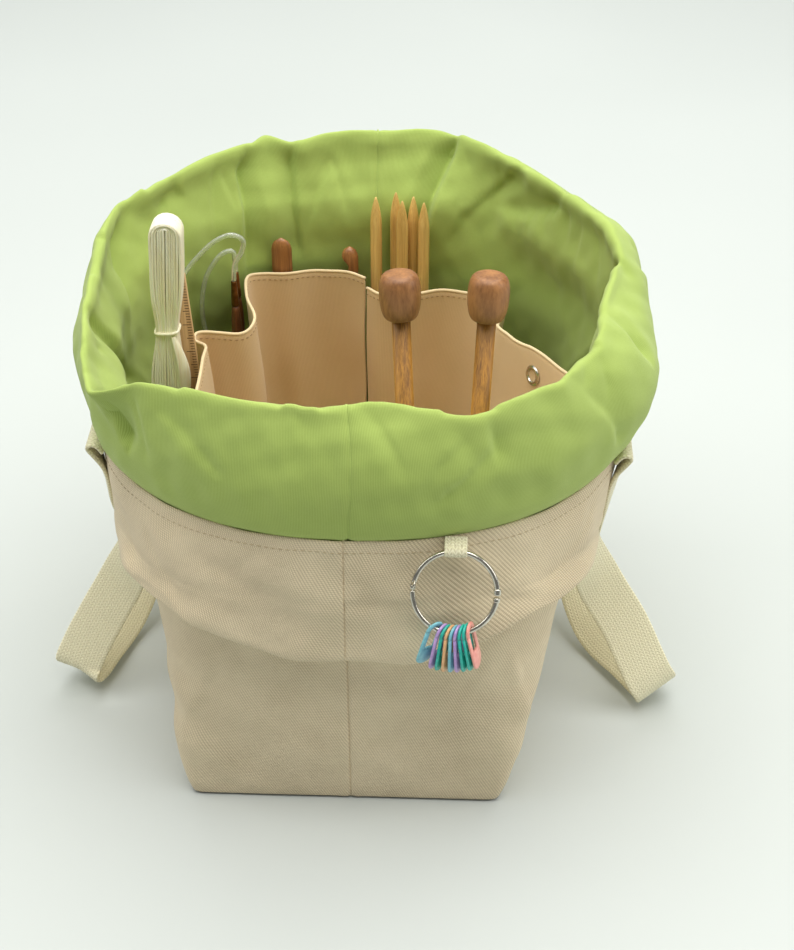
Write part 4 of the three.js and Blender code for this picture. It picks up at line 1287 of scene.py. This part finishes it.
CIRCULAR_TIPS = {"a": (-62, 58), "b": (-62, 67)}
TIP_FOOT, TIP_TOP, FERRULE_TOP = 55, 182, 196
TIP_PROFILE = [(0, 0.02), (0.3, 0.4), (4, 1.2), (9, 2.1), (15, 2.75), (110, 2.75), (118, 2.6), (124, 2.1),
               (127, 1.8), (127, 0.02)]
FERRULE_PROFILE = [(0, 0.02), (0, 2.0), (0.6, 2.1), (5, 1.9), (9, 1.65), (13.6, 1.4), (14, 1.3), (14, 0.02)]
for letter, (x, y) in CIRCULAR_TIPS.items():
    tip = turned(f"turned_tip_{letter}", (x, y, TIP_FOOT), (x, y, TIP_TOP), TIP_PROFILE, DARK, 24)
    on_body(tip, "circular_needle", "dark_wood", f"circular_needle_tip_{letter}")
    ferrule = turned(f"turned_ferrule_{letter}", (x, y, TIP_TOP), (x, y, FERRULE_TOP), FERRULE_PROFILE,
                     FERRULE, 24)
    on_body(ferrule, "circular_needle", "nickel", f"circular_needle_ferrule_{letter}")


# ---------------------------------------------------------------- ruler

# The drawn ruler is a little narrower than the solid it stands for, and a little to its left.
RULER_SHARE = 0.85
RULER_SHIFT = np.array((-1.2, 0.0, 0.0))
TICK_PITCH = 1.5
TICK_HALF = 0.17


def make_ruler():
    """A thin wooden rule with plain ticks along both edges."""
    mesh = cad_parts["ruler"].data
    co = np.array([v.co for v in mesh.vertices], float) / MM
    middle = co.mean(0) + RULER_SHIFT
    _, vectors = np.linalg.eigh(np.cov((co - middle).T))
    thin, wide, long = vectors.T
    if long[2] < 0:
        long = -long
    half_t, half_w, half_l = (np.abs((co - middle) @ d).max() for d in (thin, wide, long))
    half_w = half_w * RULER_SHARE
    corner = [(half_w, half_t - 0.3), (half_w - 0.4, half_t)]
    outline = [(-a, -b) for a, b in corner] + [(a, -b) for a, b in corner[::-1]]
    outline += [(-a, -b) for a, b in outline]
    rows = [[middle + long * half_l * share + wide * a * inset + thin * b * inset for a, b in outline]
            for share, inset in ((-1, 0.94), (-0.997, 1.0), (0.997, 1.0), (1, 0.94))]
    board = lofted("ruler_board", rows, RULER)
    corners = []
    for edge in (-1, 1):
        for face in (-1, 1):
            for k in range(int(2 * half_l / TICK_PITCH) - 2):
                height = -half_l + 2.5 + k * TICK_PITCH
                size = 4.2 if k % 10 == 0 else 3.1 if k % 5 == 0 else 2.0
                for inward, up in ((0, -TICK_HALF), (size, -TICK_HALF), (size, TICK_HALF), (0, TICK_HALF)):
                    corners.append(middle + long * (height + up) + wide * edge * (half_w - 0.45 - inward)
                                   + thin * face * (half_t + 0.03))
    faces = np.arange(len(corners)).reshape(-1, 4).tolist()
    tick_mesh = bpy.data.meshes.new("ruler_ticks")
    tick_mesh.from_pydata((np.array(corners) * MM).tolist(), [], faces)
    tick_mesh.materials.append(INK)
    on_body(board, "ruler", "ruler_wood", "ruler")
    on_body(placed("ruler_ticks", tick_mesh), "ruler", "ruler_wood")


make_ruler()


# ---------------------------------------------------------------- hank of raffia ribbon

HANK_FOOT = np.array((-91.2, 1.5, 136.0))
HANK_TOP = np.array((-82.0, 1.5, 260.5))
TIE_AT = 66.5


RIBBON_REACHES = (6.8, 5.6, 4.4, 3.2, 2.0, 0.8)
NECK_SHARE = 0.33
# The tie's loose end: distance up from the tie, out to the side and out to the front.
TIE_TAIL = [(-1, 3.6, 5.4), (-9, 6.4, 5.8), (-20, 8.6, 5.2), (-33, 9.0, 4.4), (-44, 8.0, 3.6)]


def rounded(turn, wave, power=0.6):
    """A cosine or sine with its middle part swelled, so that a circle becomes a soft square."""
    return math.copysign(abs(wave(turn)) ** power, wave(turn))


def make_hank():
    """Nested folds of flat ribbon seen edge-on, drawn in by a thin tie."""
    axis = unit(HANK_TOP - HANK_FOOT)
    deep = unit(np.cross(axis, (1, 0, 0)))
    wide = np.cross(deep, axis)
    length = float(np.linalg.norm(HANK_TOP - HANK_FOOT))
    draw = random.Random(7)
    ribbons = []
    for layer, reach in enumerate(RIBBON_REACHES):
        straight = length - 0.4 - reach - layer * 0.5
        trace = [(-reach, h) for h in np.linspace(0, straight, 30)]
        trace += [(-reach * math.cos(t), straight + reach * math.sin(t))
                  for t in np.linspace(0.25, math.pi - 0.25, 9)]
        trace += [(reach, h) for h in np.linspace(straight, 0, 30)]
        phase = draw.uniform(0, 6)
        half_depth = 5.6 - draw.uniform(0, 0.5)
        u, h = np.array(trace).T
        neck = NECK_SHARE * np.exp(-((h - TIE_AT) / 15) ** 2)
        sway = 0.10 * np.sin(h / 15 + phase) + 0.05 * np.sin(h / 6.1 + 2 * phase)
        middle = HANK_FOOT + axis * h[:, None] + wide * (u * (1 - neck) + sway)[:, None]
        depth = half_depth * (1 - 0.9 * neck)
        normals = np.cross(unit(np.gradient(middle, axis=0)), deep)
        flat = np.linspace(-1, 1, 8)
        rows = []
        for m, n, d in zip(middle, normals, depth):
            rows.append([m + deep * d * f + n * (0.66 - 0.16 * f * f) for f in flat]
                        + [m + deep * d * f - n * (0.66 - 0.16 * f * f) for f in flat[::-1]])
        ribbons.append(lofted(f"ribbon_{layer}", rows, RAFFIA))
    tail_line = spline([HANK_FOOT + axis * (TIE_AT + up) + wide * side - deep * front
                        for up, side, front in TIE_TAIL], 24)
    breadth = 2.6 * np.sin(np.linspace(0.25, 2.75, 24)) + 0.5
    normals = unit(np.cross(unit(np.gradient(tail_line, axis=0)), deep * 0.6 + wide * 0.8))
    rows = []
    for m, n, b in zip(tail_line, normals, breadth):
        side = unit(np.cross(n, axis)) * b
        rows.append([m + side * f + n * (0.3 - 0.5 * abs(f)) for f in np.linspace(-1, 1, 7)]
                    + [m + side * f + n * (-0.2 - 0.5 * abs(f)) for f in np.linspace(1, -1, 7)])
    ribbons.append(lofted("ribbon_tail", rows, RAFFIA))
    on_body(joined("ribbon_hank", ribbons), "hank", "raffia", "raffia_hank")
    centre = HANK_FOOT + axis * TIE_AT
    path = [centre + wide * 5.5 * rounded(t, math.cos) + deep * 4.9 * rounded(t, math.sin)
            + axis * 1.2 * math.cos(t) for t in np.linspace(0, 2 * math.pi, 49)]
    on_body(tube("ribbon_tie", path, 0.75, RAFFIA, sides=10), "hank", "raffia", "hank_tie")


make_hank()


# ---------------------------------------------------------------- the circular needle's cable

CABLE_DIAMETER = 2.5
CABLE_ROUTE = [
    (-62, 58, 196.4), (-61, 58, 205), (-57, 58, 213), (-56, 58, 219), (-61, 58, 222), (-69, 58, 219),
    (-78, 57, 211), (-87, 54, 200), (-92.5, 47, 185), (-93.5, 41, 165), (-90, 37, 145), (-84, 38, 126),
    (-78, 46, 112), (-74, 57, 107), (-74, 68, 112), (-76, 73, 128), (-79, 72, 148), (-81, 69, 166),
    (-80, 66, 181), (-76, 65, 196), (-68, 66, 207), (-63, 67, 208), (-62, 67, 203), (-62, 67, 196.4),
]


def make_cable():
    points = spline(CABLE_ROUTE, 170)
    curve = bpy.data.curves.new("cable", "CURVE")
    curve.dimensions = "3D"
    curve.bevel_depth = CABLE_DIAMETER / 2 * MM
    curve.bevel_resolution = 6
    line = curve.splines.new("POLY")
    line.points.add(len(points) - 1)
    for target, point in zip(line.points, points):
        target.co = (*(point * MM), 1)
    line.use_smooth = True
    curve.materials.append(CLEAR)
    cable = placed("cable", curve)
    on_body(cable, "circular_needle", "clear_cable", "circular_needle_cable")


make_cable()


# ---------------------------------------------------------------- floor, backdrop and light

def make_stage():
    """A pale sweep, in metres: flat floor that curves up behind the bag."""
    profile = [(-4.0, 0), (-0.4, 0), (0.0, 0), (1.9, 0)]
    profile += [(1.9 + 0.8 * math.sin(t), 0.8 - 0.8 * math.cos(t)) for t in np.linspace(0.1, math.pi / 2, 14)]
    profile += [(2.7, 1.6), (2.7, 3.6)]
    vertices = [(x, y, z - 0.0004) for y, z in profile for x in np.linspace(-4.0, 4.0, 9)]
    mesh = bpy.data.meshes.new("sweep")
    mesh.from_pydata(vertices, [], quads(len(profile), 9, False))
    look = Look("sweep", rough=0.75, Specular_IOR_Level=0.25)
    cloud = look.noise(look.place(), 1.6, 2)
    look.colour(look.ramp(cloud, [(0.3, (198, 203, 199)), (0.7, (204, 209, 205))]))
    shown("sweep", mesh, look.material)


def area_light(name, place, target, size, power, colour):
    data = bpy.data.lights.new(name, "AREA")
    data.shape = "RECTANGLE"
    data.size, data.size_y = size
    data.energy = power
    data.color = colour
    light = placed(name, data)
    light.location = place
    light.rotation_euler = (Vector(target) - Vector(place)).to_track_quat("-Z", "Y").to_euler()


def make_light():
    """A dim even world and four large lights, placed in metres."""
    world = bpy.data.worlds.new("studio")
    world.use_nodes = True
    sky = world.node_tree.nodes["Background"]
    sky.inputs["Color"].default_value = (0.95, 0.965, 0.95, 1)
    sky.inputs["Strength"].default_value = 0.21
    bpy.context.scene.world = world
    area_light("overhead", (0.1, 0.0, 1.6), (0.0, 0.0, 0.1), (1.6, 1.6), 32.0, (1.0, 0.995, 0.975))
    area_light("right_side", (1.3, -0.2, 0.8), (0.0, 0.0, 0.15), (0.8, 0.8), 6.0, (1.0, 0.995, 0.98))
    area_light("left_side", (-1.1, -0.1, 1.1), (0.05, 0.0, 0.12), (0.8, 0.8), 5.5, (1.0, 0.995, 0.98))
    area_light("behind", (0.0, 1.35, 1.5), (0.0, 1.1, 0.0), (1.8, 0.8), 13.0, (1.0, 1.0, 0.99))
    bpy.context.scene.view_settings.view_transform = "Standard"


make_stage()
make_light()
